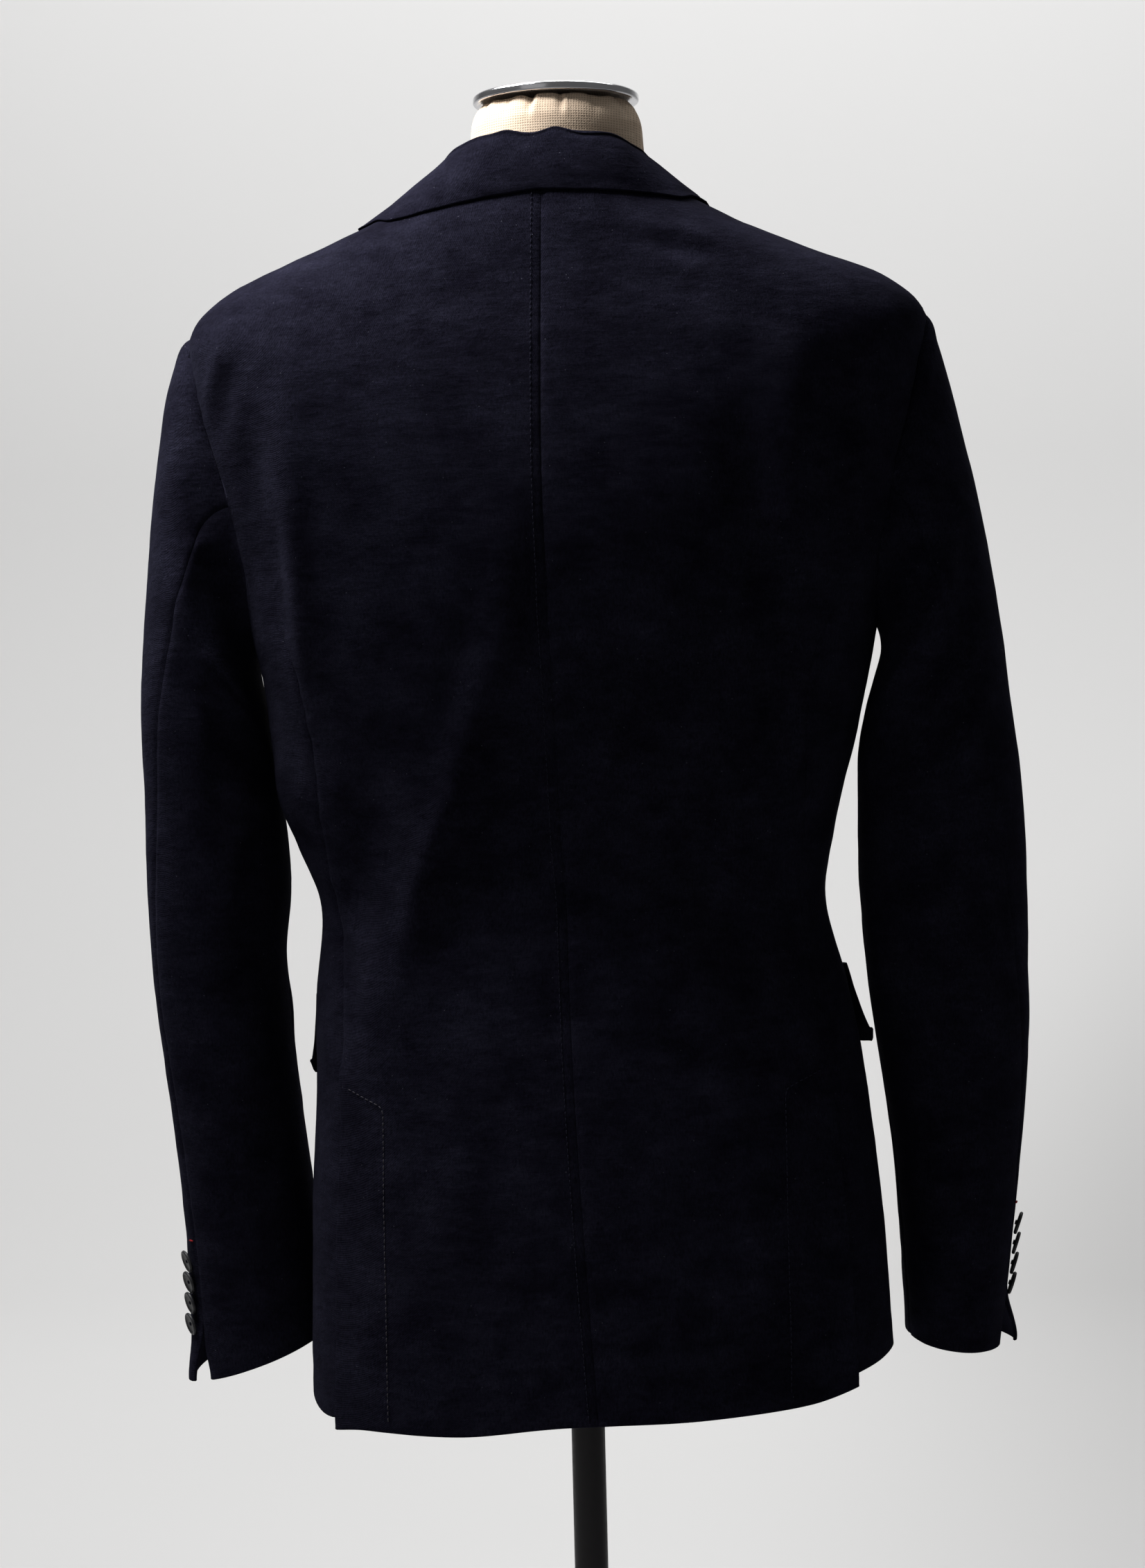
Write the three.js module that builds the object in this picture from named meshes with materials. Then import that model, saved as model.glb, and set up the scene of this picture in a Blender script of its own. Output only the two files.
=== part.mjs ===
// A tailored blazer worn by a limbless dress form on a stand, in millimetres.
// +Z is up, the front of the garment faces -Y, and +X is the garment's own left side.
// The origin is on the floor, under the middle of the whole object.
import * as THREE from "three";

// Driving sizes of the garment
const HEM_HEIGHT = 520; // the centre-back hem above the floor; every other height is above that hem
const CLOTH = 2; // a panel's wall, cloth and canvas together
const SEAM_GAP = 0.2; // each panel stops this short of a seam
const NECK_LEVEL = 752; // the back neck seam
const ARMPIT_LEVEL = 474;
const SHOULDER_LEVEL = 630; // the ring that passes through both shoulder points
const ARMHOLE_BACK_DEG = 20; // how far round the armhole reaches behind the side
const ARMHOLE_FRONT_DEG = 36; // and in front of it
const FRONT_SEAM_DEG = -36; // the seam between a front and its side panel
const SIDE_SEAM_TOP = 505; // where the side-back seam leaves the armhole
const VENT_TOP = 190;
const VENT_UNDERLAP_DEG = 14;
const VENT_LIFT = 3;
const OVERLAP = 18; // each front passes centre front by this much
const OVERLAP_LIFT = 3;
const BREAK_HEIGHT = 338; // where the lapel starts to turn back
const LOWER_BUTTON = 215;
const UPPER_BUTTON = 322;
const LAPEL_WIDTH = 76;
const LAPEL_CORNER = 628;
const GORGE_TOP = 690;
const HEM_BLEND = 120; // the hem's slant dies out this far above it
const SIDE_RISE = 7; // at the vents a side panel ends higher than the back by this much
const POCKET_LENGTH = 150;
const POCKET_DEPTH = 50;

// Driving sizes of the stand
const FOOT_RADIUS = 160;
const FOOT_THICK = 9;
const POLE_RADIUS = 10.5;
const CAP_RADIUS = 52;
const CAP_TOP = 811;
const CAP_BAND = 5.4;
const FORM_BOTTOM = 72;

const DEG = Math.PI / 180;
const { abs, acos, cos, hypot, max, min, sign, sin, sqrt } = Math;
const lerp = (a, b, t) => a + (b - a) * t;
const clamp01 = (t) => min(1, max(0, t));
const smooth = (a, b, t) => {
  const k = clamp01((t - a) / (b - a));
  return k * k * (3 - 2 * k);
};

// A smooth curve through one column of a table, read at a place along another column.
function reader(rows, along, column) {
  const x = rows.map((r) => r[along]);
  const y = rows.map((r) => r[column]);
  const slope = y.map((_, i) => {
    const a = max(0, i - 1);
    const b = min(y.length - 1, i + 1);
    return (y[b] - y[a]) / (x[b] - x[a]);
  });
  return (at) => {
    let i = 0;
    while (i < x.length - 2 && at > x[i + 1]) i += 1;
    const h = x[i + 1] - x[i];
    const t = clamp01((at - x[i]) / h);
    const t2 = t * t;
    const t3 = t2 * t;
    return (
      (2 * t3 - 3 * t2 + 1) * y[i] +
      (t3 - 2 * t2 + t) * h * slope[i] +
      (3 * t2 - 2 * t3) * y[i + 1] +
      (t3 - t2) * h * slope[i + 1]
    );
  };
}
const readers = (rows, along, columns) =>
  Object.fromEntries(columns.map((c) => [c, reader(rows, along, c)]));

// The body, one row for each ring. level is the ring's height at centre back, side and front its heights
// at the sides and at centre front, left and right its reach from the stand's axis, back and chest its depths.
const BODY_RINGS = [
  { level: -20, side: -20, front: -20, left: 172, right: 195, back: 119, chest: 132, square: 2.3 },
  { level: 60, side: 60, front: 60, left: 170, right: 191, back: 117, chest: 131, square: 2.3 },
  { level: 130, side: 130, front: 130, left: 169, right: 186, back: 113, chest: 128, square: 2.3 },
  { level: 200, side: 200, front: 200, left: 165, right: 178, back: 106, chest: 123, square: 2.25 },
  { level: 250, side: 250, front: 250, left: 164, right: 169, back: 100, chest: 119, square: 2.2 },
  { level: 305, side: 305, front: 305, left: 160, right: 157, back: 97, chest: 117, square: 2.2 },
  { level: 345, side: 345, front: 345, left: 174, right: 163, back: 100, chest: 119, square: 2.25 },
  { level: 372, side: 372, front: 372, left: 185, right: 169, back: 104, chest: 122, square: 2.28 },
  { level: 402, side: 402, front: 402, left: 188, right: 177, back: 109, chest: 126, square: 2.3 },
  { level: 450, side: 450, front: 450, left: 193, right: 188, back: 118, chest: 132, square: 2.35 },
  { level: 474, side: 474, front: 474, left: 198, right: 193, back: 121, chest: 133, square: 2.4 },
  { level: 500, side: 506, front: 494, left: 205, right: 201, back: 124, chest: 133, square: 2.4 },
  { level: 526, side: 540, front: 514, left: 213, right: 210, back: 126, chest: 131, square: 2.4 },
  { level: 552, side: 574, front: 534, left: 222, right: 218, back: 126, chest: 128, square: 2.4 },
  { level: 580, side: 607, front: 556, left: 229, right: 224, back: 124, chest: 123, square: 2.4 },
  { level: 605, side: 638, front: 577, left: 233, right: 227, back: 120, chest: 117, square: 2.4 },
  { level: 630, side: 667, front: 598, left: 233, right: 227, back: 115, chest: 109, square: 2.4 },
  { level: 660, side: 690, front: 622, left: 210, right: 201, back: 107, chest: 99, square: 2.35 },
  { level: 690, side: 708, front: 646, left: 173, right: 158, back: 97, chest: 87, square: 2.3 },
  { level: 722, side: 727, front: 672, left: 128, right: 114, back: 86, chest: 74, square: 2.2 },
  { level: 752, side: 748, front: 698, left: 86, right: 75, back: 71, chest: 60, square: 2.1 },
];
const ring = readers(BODY_RINGS, "level", [
  "side", "front", "left", "right", "back", "chest", "square",
]);

// The hem, round the body from the left side by way of the back.
const HEM = [
  { deg: -95, height: -6 },
  { deg: -60, height: -10 },
  { deg: -30, height: -6 },
  { deg: 0, height: -1 },
  { deg: 25, height: -12 },
  { deg: 45, height: -9 },
  { deg: 70, height: -10 },
  { deg: 90, height: -4 },
  { deg: 110, height: -2 },
  { deg: 135, height: 4 },
  { deg: 155, height: 13 },
  { deg: 180, height: 20 },
  { deg: 215, height: 12 },
  { deg: 250, height: -2 },
  { deg: 275, height: -6 },
];
const hemAt = reader(HEM, "deg", "height");

// Where the seams of the back run, as distances from the stand's axis. left and right are the side-back seams.
const BACK_SEAMS = [
  { height: -20, centre: -17, left: 147, right: 170 },
  { height: 60, centre: -12, left: 145, right: 167 },
  { height: 130, centre: -8, left: 142, right: 162 },
  { height: 190, centre: -5, left: 139, right: 156 },
  { height: 250, centre: -3, left: 140, right: 147 },
  { height: 305, centre: -2, left: 145, right: 142 },
  { height: 345, centre: 0, left: 151, right: 146 },
  { height: 400, centre: 1, left: 154, right: 149 },
  { height: 450, centre: 2, left: 160, right: 154 },
  { height: 480, centre: 3, left: 173, right: 167 },
  { height: 505, centre: 3, left: 193, right: 189 },
  { height: 560, centre: 4, left: 193, right: 189 },
  { height: 640, centre: 4, left: 193, right: 189 },
  { height: 760, centre: 4, left: 193, right: 189 },
];
const backSeam = readers(BACK_SEAMS, "height", ["centre", "left", "right"]);

// The largest folds of the body: ridges are above zero, hollows below. x and height are the two ends.
const BODY_FOLDS = [
  { face: 1, x1: 28, h1: 560, x2: 80, h2: 350, depth: 3.0, width: 24 },
  { face: 1, x1: 76, h1: 365, x2: 130, h2: 200, depth: 4.5, width: 20 },
  { face: 1, x1: 104, h1: 400, x2: 140, h2: 290, depth: -3.0, width: 20 },
  { face: 1, x1: 164, h1: 615, x2: 156, h2: 440, depth: 4.0, width: 14 },
  { face: 1, x1: 188, h1: 595, x2: 184, h2: 500, depth: -4.5, width: 15 },
  { face: 1, x1: -145, h1: 640, x2: -150, h2: 500, depth: 4.0, width: 15 },
  { face: 1, x1: -112, h1: 585, x2: -122, h2: 430, depth: -4.5, width: 20 },
  { face: 1, x1: -70, h1: 350, x2: -118, h2: 235, depth: -3.5, width: 16 },
  { face: 1, x1: -96, h1: 360, x2: -146, h2: 225, depth: 3.5, width: 16 },
  { face: 1, x1: -60, h1: 300, x2: 70, h2: 312, depth: -2.5, width: 26 },
  { face: -1, x1: 20, h1: 318, x2: 130, h2: 350, depth: 3.5, width: 18 },
  { face: -1, x1: -20, h1: 318, x2: -130, h2: 350, depth: 3.5, width: 18 },
  { face: -1, x1: 30, h1: 285, x2: 140, h2: 265, depth: -3.5, width: 18 },
  { face: -1, x1: -30, h1: 285, x2: -140, h2: 265, depth: -3.5, width: 18 },
  { face: -1, x1: 160, h1: 570, x2: 158, h2: 470, depth: -4.0, width: 16 },
  { face: -1, x1: -160, h1: 570, x2: -158, h2: 470, depth: -4.0, width: 16 },
];

// How far a set of straight folds lifts the cloth at a place.
function relief(folds, face, x, height) {
  let lift = 0;
  for (const f of folds) {
    if (f.face * face <= 0) continue;
    const dx = f.x2 - f.x1;
    const dh = f.h2 - f.h1;
    const long = hypot(dx, dh);
    const along = ((x - f.x1) * dx + (height - f.h1) * dh) / (long * long);
    const off = ((x - f.x1) * dh - (height - f.h1) * dx) / long;
    const taper = smooth(-0.25, 0.25, along) * smooth(1.25, 0.75, along);
    lift += f.depth * taper * Math.exp(-((off / f.width) ** 2));
  }
  return lift * smooth(0.05, 0.4, abs(face));
}

// A point of the body without its folds. angle 0 is the left side, 90 centre back, 180 the right side.
function bodyShape(deg, level) {
  const c = cos(deg * DEG);
  const s = sin(deg * DEG);
  const power = 2 / ring.square(level);
  const across = abs(c) ** power;
  const end = s >= 0 ? level : ring.front(level);
  return new THREE.Vector3(
    sign(c) * across * (c >= 0 ? ring.left(level) : ring.right(level)),
    sign(s) * abs(s) ** power * (s >= 0 ? ring.back(level) : ring.chest(level)),
    end + (ring.side(level) - end) * across * across,
  );
}

const STEP_DEG = 0.6;
const STEP_LEVEL = 2;

// The outward direction of a surface given as a function of two numbers.
function outward(surface, u, v, stepU, stepV) {
  const du = surface(u + stepU, v).sub(surface(u - stepU, v));
  const dv = surface(u, v + stepV).sub(surface(u, v - stepV));
  return du.cross(dv).normalize();
}

// The body's outer face with its folds.
function bodyPoint(deg, level) {
  const p = bodyShape(deg, level);
  const lift = relief(BODY_FOLDS, sin(deg * DEG), p.x, p.z);
  return lift === 0 ? p : p.addScaledVector(outward(bodyShape, deg, level, STEP_DEG, STEP_LEVEL), lift);
}
const bodyOut = (deg, level) => outward(bodyPoint, deg, level, STEP_DEG, STEP_LEVEL);

// The angle at which a ring crosses a given distance from the axis, on the back or on the front.
function angleAt(x, level, face) {
  const share = min(1, abs(x) / (x >= 0 ? ring.left(level) : ring.right(level)));
  const turn = acos(share ** (ring.square(level) / 2)) / DEG;
  const fromLeft = x >= 0 ? turn : 180 - turn;
  return face > 0 ? fromLeft : -fromLeft;
}

// The ring that has a given height at a given distance from the axis.
function levelAt(x, height, face) {
  let low = -40;
  let high = NECK_LEVEL + 20;
  for (let i = 0; i < 30; i += 1) {
    const middle = (low + high) / 2;
    if (bodyShape(angleAt(x, middle, face), middle).z < height) low = middle;
    else high = middle;
  }
  return (low + high) / 2;
}

// A place on the back or front, as seen from there, with the cloth's outward direction.
function onFace(x, height, face, lift = 0) {
  const level = levelAt(x, height, face);
  const deg = angleAt(x, level, face);
  const out = bodyOut(deg, level);
  return { point: bodyPoint(deg, level).addScaledVector(out, lift), out };
}

// The armhole, as an angle from the body's side for a share of the way from the armpit to the shoulder.
function armholeDeg(turn, backward) {
  const width = backward ? ARMHOLE_BACK_DEG : ARMHOLE_FRONT_DEG;
  return width * abs(sin(turn)) * (1 - 0.25 * cos(turn));
}
const armholeTurn = (level) =>
  acos(2 * clamp01((level - ARMPIT_LEVEL) / (SHOULDER_LEVEL - ARMPIT_LEVEL)) - 1);
const armholeLevel = (turn) =>
  ARMPIT_LEVEL + ((SHOULDER_LEVEL - ARMPIT_LEVEL) * (1 + cos(turn))) / 2;

// Turns an angle measured from a side of the body into one measured from the left side.
const fromSide = (side, deg) => (side > 0 ? deg : 180 - deg);

// Closed walls made from grids of points: outer[i][j] and inner[i][j].
function wall(outer, inner) {
  const rows = outer.length;
  const cols = outer[0].length;
  const positions = [...outer.flat(), ...inner.flat()].flatMap((p) => [p.x, p.y, p.z]);
  const at = (layer, i, j) => layer * rows * cols + i * cols + j;
  const faces = [];
  const quad = (a, b, c, d) => faces.push(a, b, c, a, c, d);
  for (let i = 0; i < rows - 1; i += 1) {
    for (let j = 0; j < cols - 1; j += 1) {
      quad(at(0, i, j), at(0, i, j + 1), at(0, i + 1, j + 1), at(0, i + 1, j));
      quad(at(1, i, j), at(1, i + 1, j), at(1, i + 1, j + 1), at(1, i, j + 1));
    }
    quad(at(0, i, 0), at(0, i + 1, 0), at(1, i + 1, 0), at(1, i, 0));
    quad(at(0, i, cols - 1), at(1, i, cols - 1), at(1, i + 1, cols - 1), at(0, i + 1, cols - 1));
  }
  for (let j = 0; j < cols - 1; j += 1) {
    quad(at(0, 0, j), at(1, 0, j), at(1, 0, j + 1), at(0, 0, j + 1));
    quad(at(0, rows - 1, j), at(0, rows - 1, j + 1), at(1, rows - 1, j + 1), at(1, rows - 1, j));
  }
  const geometry = new THREE.BufferGeometry();
  geometry.setAttribute("position", new THREE.Float32BufferAttribute(positions, 3));
  geometry.setIndex(faces);
  return facingOut(geometry);
}

// Reverses the faces of a closed geometry whose signed volume is negative.
function facingOut(geometry) {
  const p = geometry.getAttribute("position");
  const index = geometry.getIndex().array;
  const [a, b, c] = [new THREE.Vector3(), new THREE.Vector3(), new THREE.Vector3()];
  let volume = 0;
  for (let i = 0; i < index.length; i += 3) {
    a.fromBufferAttribute(p, index[i]);
    b.fromBufferAttribute(p, index[i + 1]);
    c.fromBufferAttribute(p, index[i + 2]);
    volume += a.dot(b.cross(c));
  }
  if (volume < 0) {
    for (let i = 0; i < index.length; i += 3) [index[i], index[i + 1]] = [index[i + 1], index[i]];
  }
  geometry.computeVertexNormals();
  return geometry;
}

// Pulls the outermost rows and columns of a grid in by the seam gap.
function insetEdges(grid, gap = SEAM_GAP) {
  const pull = (p, q) => p.addScaledVector(q.clone().sub(p).normalize(), gap);
  const lastCol = grid[0].length - 1;
  for (const row of grid) {
    pull(row[0], row[1]);
    pull(row[lastCol], row[lastCol - 1]);
  }
  const last = grid.length - 1;
  grid[0].forEach((p, j) => pull(p, grid[1][j]));
  grid[last].forEach((p, j) => pull(p, grid[last - 1][j]));
  return grid;
}

// A wall over a patch: place(i, j) gives { point, out }, the outer point and its outward direction.
function patchWall(rows, cols, place, thick = CLOTH) {
  const outer = [];
  const inner = [];
  for (let i = 0; i < rows; i += 1) {
    const spots = Array.from({ length: cols }, (_, j) => place(i / (rows - 1), j / (cols - 1), i, j));
    outer.push(spots.map((s) => s.point.clone()));
    inner.push(spots.map((s) => s.point.clone().addScaledVector(s.out, -thick)));
  }
  return wall(insetEdges(outer), insetEdges(inner));
}

// The rows of the body panels, closer together at the rounded fronts and at the shoulder.
const PANEL_LEVELS = [
  0, 8, 22, 42, 68, 98, 130, 165, 200, 235, 270, 305, 340, 375, 410, 445, 474, 505, 526, 552, 580,
  605, 630, 652, 674, 698, 724, NECK_LEVEL,
];
const BACK_COLS = 9;
const FRONT_COLS = 9;
const SIDE_COLS = 6;
const slanted = (level, deg) => level + hemAt(deg) * clamp01(1 - level / HEM_BLEND);

// The angle of a panel's edge at the side: the side-back or front seam, then the armhole, then the shoulder.
function sideEdge(level, side, backward) {
  const seam = backward
    ? fromSide(side, angleAt(side * (side > 0 ? backSeam.left(level) : backSeam.right(level)), level, 1))
    : FRONT_SEAM_DEG;
  const sign0 = backward ? 1 : -1;
  const seamTop = backward ? SIDE_SEAM_TOP : frontSeamTop();
  if (level <= seamTop) return seam;
  if (level >= SHOULDER_LEVEL) return 0;
  return sign0 * armholeDeg(armholeTurn(level), backward);
}

// The level at which the front seam meets the lower half of the armhole.
function frontSeamTop() {
  let low = Math.PI / 2;
  let high = Math.PI;
  for (let i = 0; i < 30; i += 1) {
    const middle = (low + high) / 2;
    if (armholeDeg(middle, false) > -FRONT_SEAM_DEG) low = middle;
    else high = middle;
  }
  return armholeLevel(low);
}

// One half of the back, from the centre seam to the side seam, armhole and shoulder seam.
function backPanel(side) {
  return patchWall(PANEL_LEVELS.length, BACK_COLS, (_, share, i) => {
    const level = PANEL_LEVELS[i];
    const centre = angleAt(backSeam.centre(level), level, 1);
    const deg = lerp(centre, fromSide(side, sideEdge(level, side, true)), share);
    const at = slanted(level, deg);
    const out = bodyOut(deg, at);
    const lift = VENT_LIFT * smooth(VENT_TOP + 45, VENT_TOP + 10, level) * smooth(0.45, 0.75, share);
    return { point: bodyPoint(deg, at).addScaledVector(out, lift), out };
  });
}

// The panel under the arm. Below the top of the vent it runs on behind the back panel.
function sidePanel(side) {
  const seamRows = PANEL_LEVELS.filter((l) => l <= ARMPIT_LEVEL);
  return patchWall(seamRows.length + 1, SIDE_COLS, (_, share, i) => {
    const top = i === seamRows.length;
    const level = top ? ARMPIT_LEVEL : seamRows[i];
    const seam = top ? armholeBackEnd() : sideEdge(level, side, true);
    const underlap = VENT_UNDERLAP_DEG * smooth(VENT_TOP + 10, VENT_TOP - 25, level);
    const local = lerp(FRONT_SEAM_DEG, seam + underlap, share);
    const deg = fromSide(side, local);
    const rise = SIDE_RISE * smooth(FRONT_SEAM_DEG, -8, local) * clamp01(1 - level / HEM_BLEND);
    const at = top ? armholeFloor(local) : slanted(level, deg) + rise;
    return { point: bodyPoint(deg, at), out: bodyOut(deg, at) };
  });
}
const armholeBackEnd = () => armholeDeg(armholeTurn(SIDE_SEAM_TOP), true);

// The level of the armhole's lower edge at an angle from the side.
function armholeFloor(local) {
  let low = Math.PI / 2;
  let high = Math.PI;
  for (let i = 0; i < 30; i += 1) {
    const middle = (low + high) / 2;
    if (armholeDeg(middle, local >= 0) > abs(local)) low = middle;
    else high = middle;
  }
  return armholeLevel(low);
}

// Straight line that the lapel turns along, as a distance from centre front towards its own side.
const NECK_POINT_LEFT = 80;
const NECK_POINT_RIGHT = 70;
const NECK_POINT_HEIGHT = 745;
const rollLine = (height, side) =>
  lerp(-OVERLAP, side > 0 ? NECK_POINT_LEFT : NECK_POINT_RIGHT,
    (height - BREAK_HEIGHT) / (NECK_POINT_HEIGHT - BREAK_HEIGHT));
const lapelWidth = (height) =>
  LAPEL_WIDTH *
  sin((Math.PI / 2) * clamp01((height - BREAK_HEIGHT) / (LAPEL_CORNER - BREAK_HEIGHT)) ** 0.75);

// The front edge below the lapel: straight past the buttons, then cut away in a round quarter.
const QUARTER = [
  { height: -14, past: 96 },
  { height: -6, past: 76 },
  { height: 8, past: 56 },
  { height: 30, past: 36 },
  { height: 70, past: 18 },
  { height: 130, past: -2 },
  { height: LOWER_BUTTON - 25, past: -OVERLAP + 2 },
  { height: LOWER_BUTTON, past: -OVERLAP },
  { height: BREAK_HEIGHT, past: -OVERLAP },
];
const quarterEdge = reader(QUARTER, "height", "past");

// How far the left front stands out where it crosses the right one.
const overlapLift = (x) => OVERLAP_LIFT * smooth(60, 24, x);

// One front, from its side seam, armhole and shoulder seam to the front edge and the lapel's fold.
function frontPanel(side) {
  return patchWall(PANEL_LEVELS.length, FRONT_COLS, (_, share, i) => {
    const level = PANEL_LEVELS[i];
    const outer = sideEdge(level, side, false);
    const edge = frontEdge(level, side);
    const local = lerp(outer, edge, share);
    const deg = fromSide(side, local);
    const at = slanted(level, deg);
    const out = bodyOut(deg, at);
    const point = bodyPoint(deg, at);
    return { point: point.addScaledVector(out, side > 0 ? overlapLift(point.x) : 0), out };
  });
}

// The angle of a front's free edge, measured from its own side of the body.
function frontEdge(level, side) {
  let height = level;
  let local = -90;
  for (let i = 0; i < 6; i += 1) {
    const past = height < BREAK_HEIGHT ? quarterEdge(height) : rollLine(height, side);
    const deg = angleAt(side * past, level, -1);
    local = -abs(side > 0 ? deg : 180 + deg);
    height = bodyShape(fromSide(side, local), level).z;
  }
  return local;
}

// A lapel, lying on its front, from the fold out to its edge and up to the gorge seam.
function lapel(side) {
  const rows = 14;
  const cols = 6;
  const start = side > 0 ? BREAK_HEIGHT + 6 : BREAK_HEIGHT + 26;
  return patchWall(rows, cols, (up, share) => {
    const top = lerp(GORGE_TOP - 4, LAPEL_CORNER, share);
    const height = lerp(start + 4 * share, top, up);
    const roll = rollLine(height, side);
    const inner = side > 0 ? roll : max(roll, -rollLine(height, 1) + 2);
    const x = lerp(inner, roll + lapelWidth(height), share);
    const flat = CLOTH + 1 + 3 * sin(Math.PI * share) * smooth(start, start + 90, height);
    const lift = flat + (side > 0 ? overlapLift(x) : 0);
    return onFace(side * x, height, -1, lift);
  });
}

// The collar, round the neck from centre back to its front end: seam on the neck, fold, and outer edge.
const COLLAR = [
  { at: 0, turn: 88, foldX: 0, foldY: 66, foldH: 778, edgeX: 0, edgeH: 740 },
  { at: 1, turn: 60, foldX: 32, foldY: 60, foldH: 778, edgeX: 48, edgeH: 736 },
  { at: 2, turn: 33, foldX: 56, foldY: 38, foldH: 773, edgeX: 84, edgeH: 732 },
  { at: 3, turn: 8, foldX: 67, foldY: 7, foldH: 764, edgeX: 109, edgeH: 731 },
  { at: 4, turn: -14, foldX: 72, foldY: -22, foldH: 750, edgeX: 124, edgeH: 708 },
  { at: 5, turn: -32, foldX: 71, foldY: -45, foldH: 726, edgeX: 126, edgeH: 684 },
  { at: 6, turn: -48, foldX: 64, foldY: -66, foldH: 696, edgeX: 122, edgeH: 668 },
];
const collarAt = readers(COLLAR, "at", ["turn", "foldX", "foldY", "foldH", "edgeX", "edgeH"]);
const COLLAR_END = 6;
const COLLAR_SHIFT = 6; // the collar sits this far towards the left of the neck
const COLLAR_TILT = 0.05; // and hangs lower on that side
const COLLAR_OFF = 3.4; // the leaf's edge stands this far off the body
const LEAF_BULGE = 5;
const NOTCH_BACK = 14; // the collar's front end turns back by this much at the notch

const collarX = (x, side) => side * x + COLLAR_SHIFT;

// The leaf's outer edge, just off the body: behind the shoulder it lies on the back, before it on the front.
function leafEdge(at, side) {
  const face = at < 3.2 ? 1 : -1;
  const x = collarX(collarAt.edgeX(at), side);
  const crest = ridgeHeight(x) - 1;
  const onRidge = smooth(2.2, 2.9, at) * smooth(4.2, 3.4, at);
  const height = min(lerp(collarAt.edgeH(at) - COLLAR_TILT * x, crest, onRidge), crest);
  return onFace(x, height, face, COLLAR_OFF + CLOTH).point;
}

// The height of the shoulder's ridge at a distance from the axis.
function ridgeHeight(x) {
  let low = SHOULDER_LEVEL;
  let high = NECK_LEVEL;
  for (let i = 0; i < 30; i += 1) {
    const middle = (low + high) / 2;
    if ((x >= 0 ? ring.left(middle) : ring.right(middle)) > abs(x)) low = middle;
    else high = middle;
  }
  return ring.side(low);
}

// Collar cross-section: along runs from the right front end (-1) by way of the back (0) to the left (1).
function collarSection(along) {
  const side = along < 0 ? -1 : 1;
  const at = abs(along) * COLLAR_END;
  const fold = new THREE.Vector3(collarX(collarAt.foldX(at), side), collarAt.foldY(at), collarAt.foldH(at));
  const seam = bodyShape(fromSide(side, collarAt.turn(at)), NECK_LEVEL + 0.8);
  return { fold, seam, edge: leafEdge(at, side) };
}

function leafPoint(along, down) {
  const { fold, edge } = collarSection(along);
  const middle = fold.clone().add(edge).multiplyScalar(0.5);
  const away = new THREE.Vector3(middle.x - COLLAR_SHIFT, middle.y, 0).normalize();
  const bulge = LEAF_BULGE * smooth(2.4, 0.8, abs(along) * COLLAR_END) + 1;
  middle.addScaledVector(away, bulge * 0.6).add(new THREE.Vector3(0, 0, bulge));
  const side = along < 0 ? -1 : 1;
  const p = fold
    .clone()
    .multiplyScalar((1 - down) ** 2)
    .addScaledVector(middle, 2 * down * (1 - down))
    .addScaledVector(edge, down * down);
  const notch = NOTCH_BACK * smooth(0.93, 1, abs(along)) * sin(Math.PI * clamp01(down * 1.25));
  return p.add(new THREE.Vector3(-0.1 * side * notch, 0.25 * notch, 0.6 * notch));
}

function collarLeaf() {
  const rows = 33;
  const cols = 6;
  return patchWall(rows, cols, (share, down) => {
    const along = lerp(-1, 1, share);
    const out = outward((a, d) => leafPoint(a, d), along, down, 0.01, 0.02);
    if (out.z < 0) out.negate();
    return { point: leafPoint(along, down), out };
  });
}

// The stand, inside the leaf: from the neck seam up to just under the fold.
const STAND_REACH = 0.6; // of the way round to the collar's front end
function standPoint(along, up) {
  const { fold, seam } = collarSection(along);
  const inward = new THREE.Vector3(seam.x - COLLAR_SHIFT, seam.y, 0).normalize().multiplyScalar(-1);
  const top = fold.clone().addScaledVector(inward, 0.5).add(new THREE.Vector3(0, 0, -CLOTH - 1.2));
  return seam.clone().lerp(top, up);
}

function collarStand() {
  const rows = 25;
  const cols = 3;
  return patchWall(rows, cols, (share, up) => {
    const along = lerp(-STAND_REACH, STAND_REACH, share);
    const point = standPoint(along, up);
    const out = new THREE.Vector3(point.x - COLLAR_SHIFT, point.y, 0).normalize();
    return { point, out };
  });
}

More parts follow.
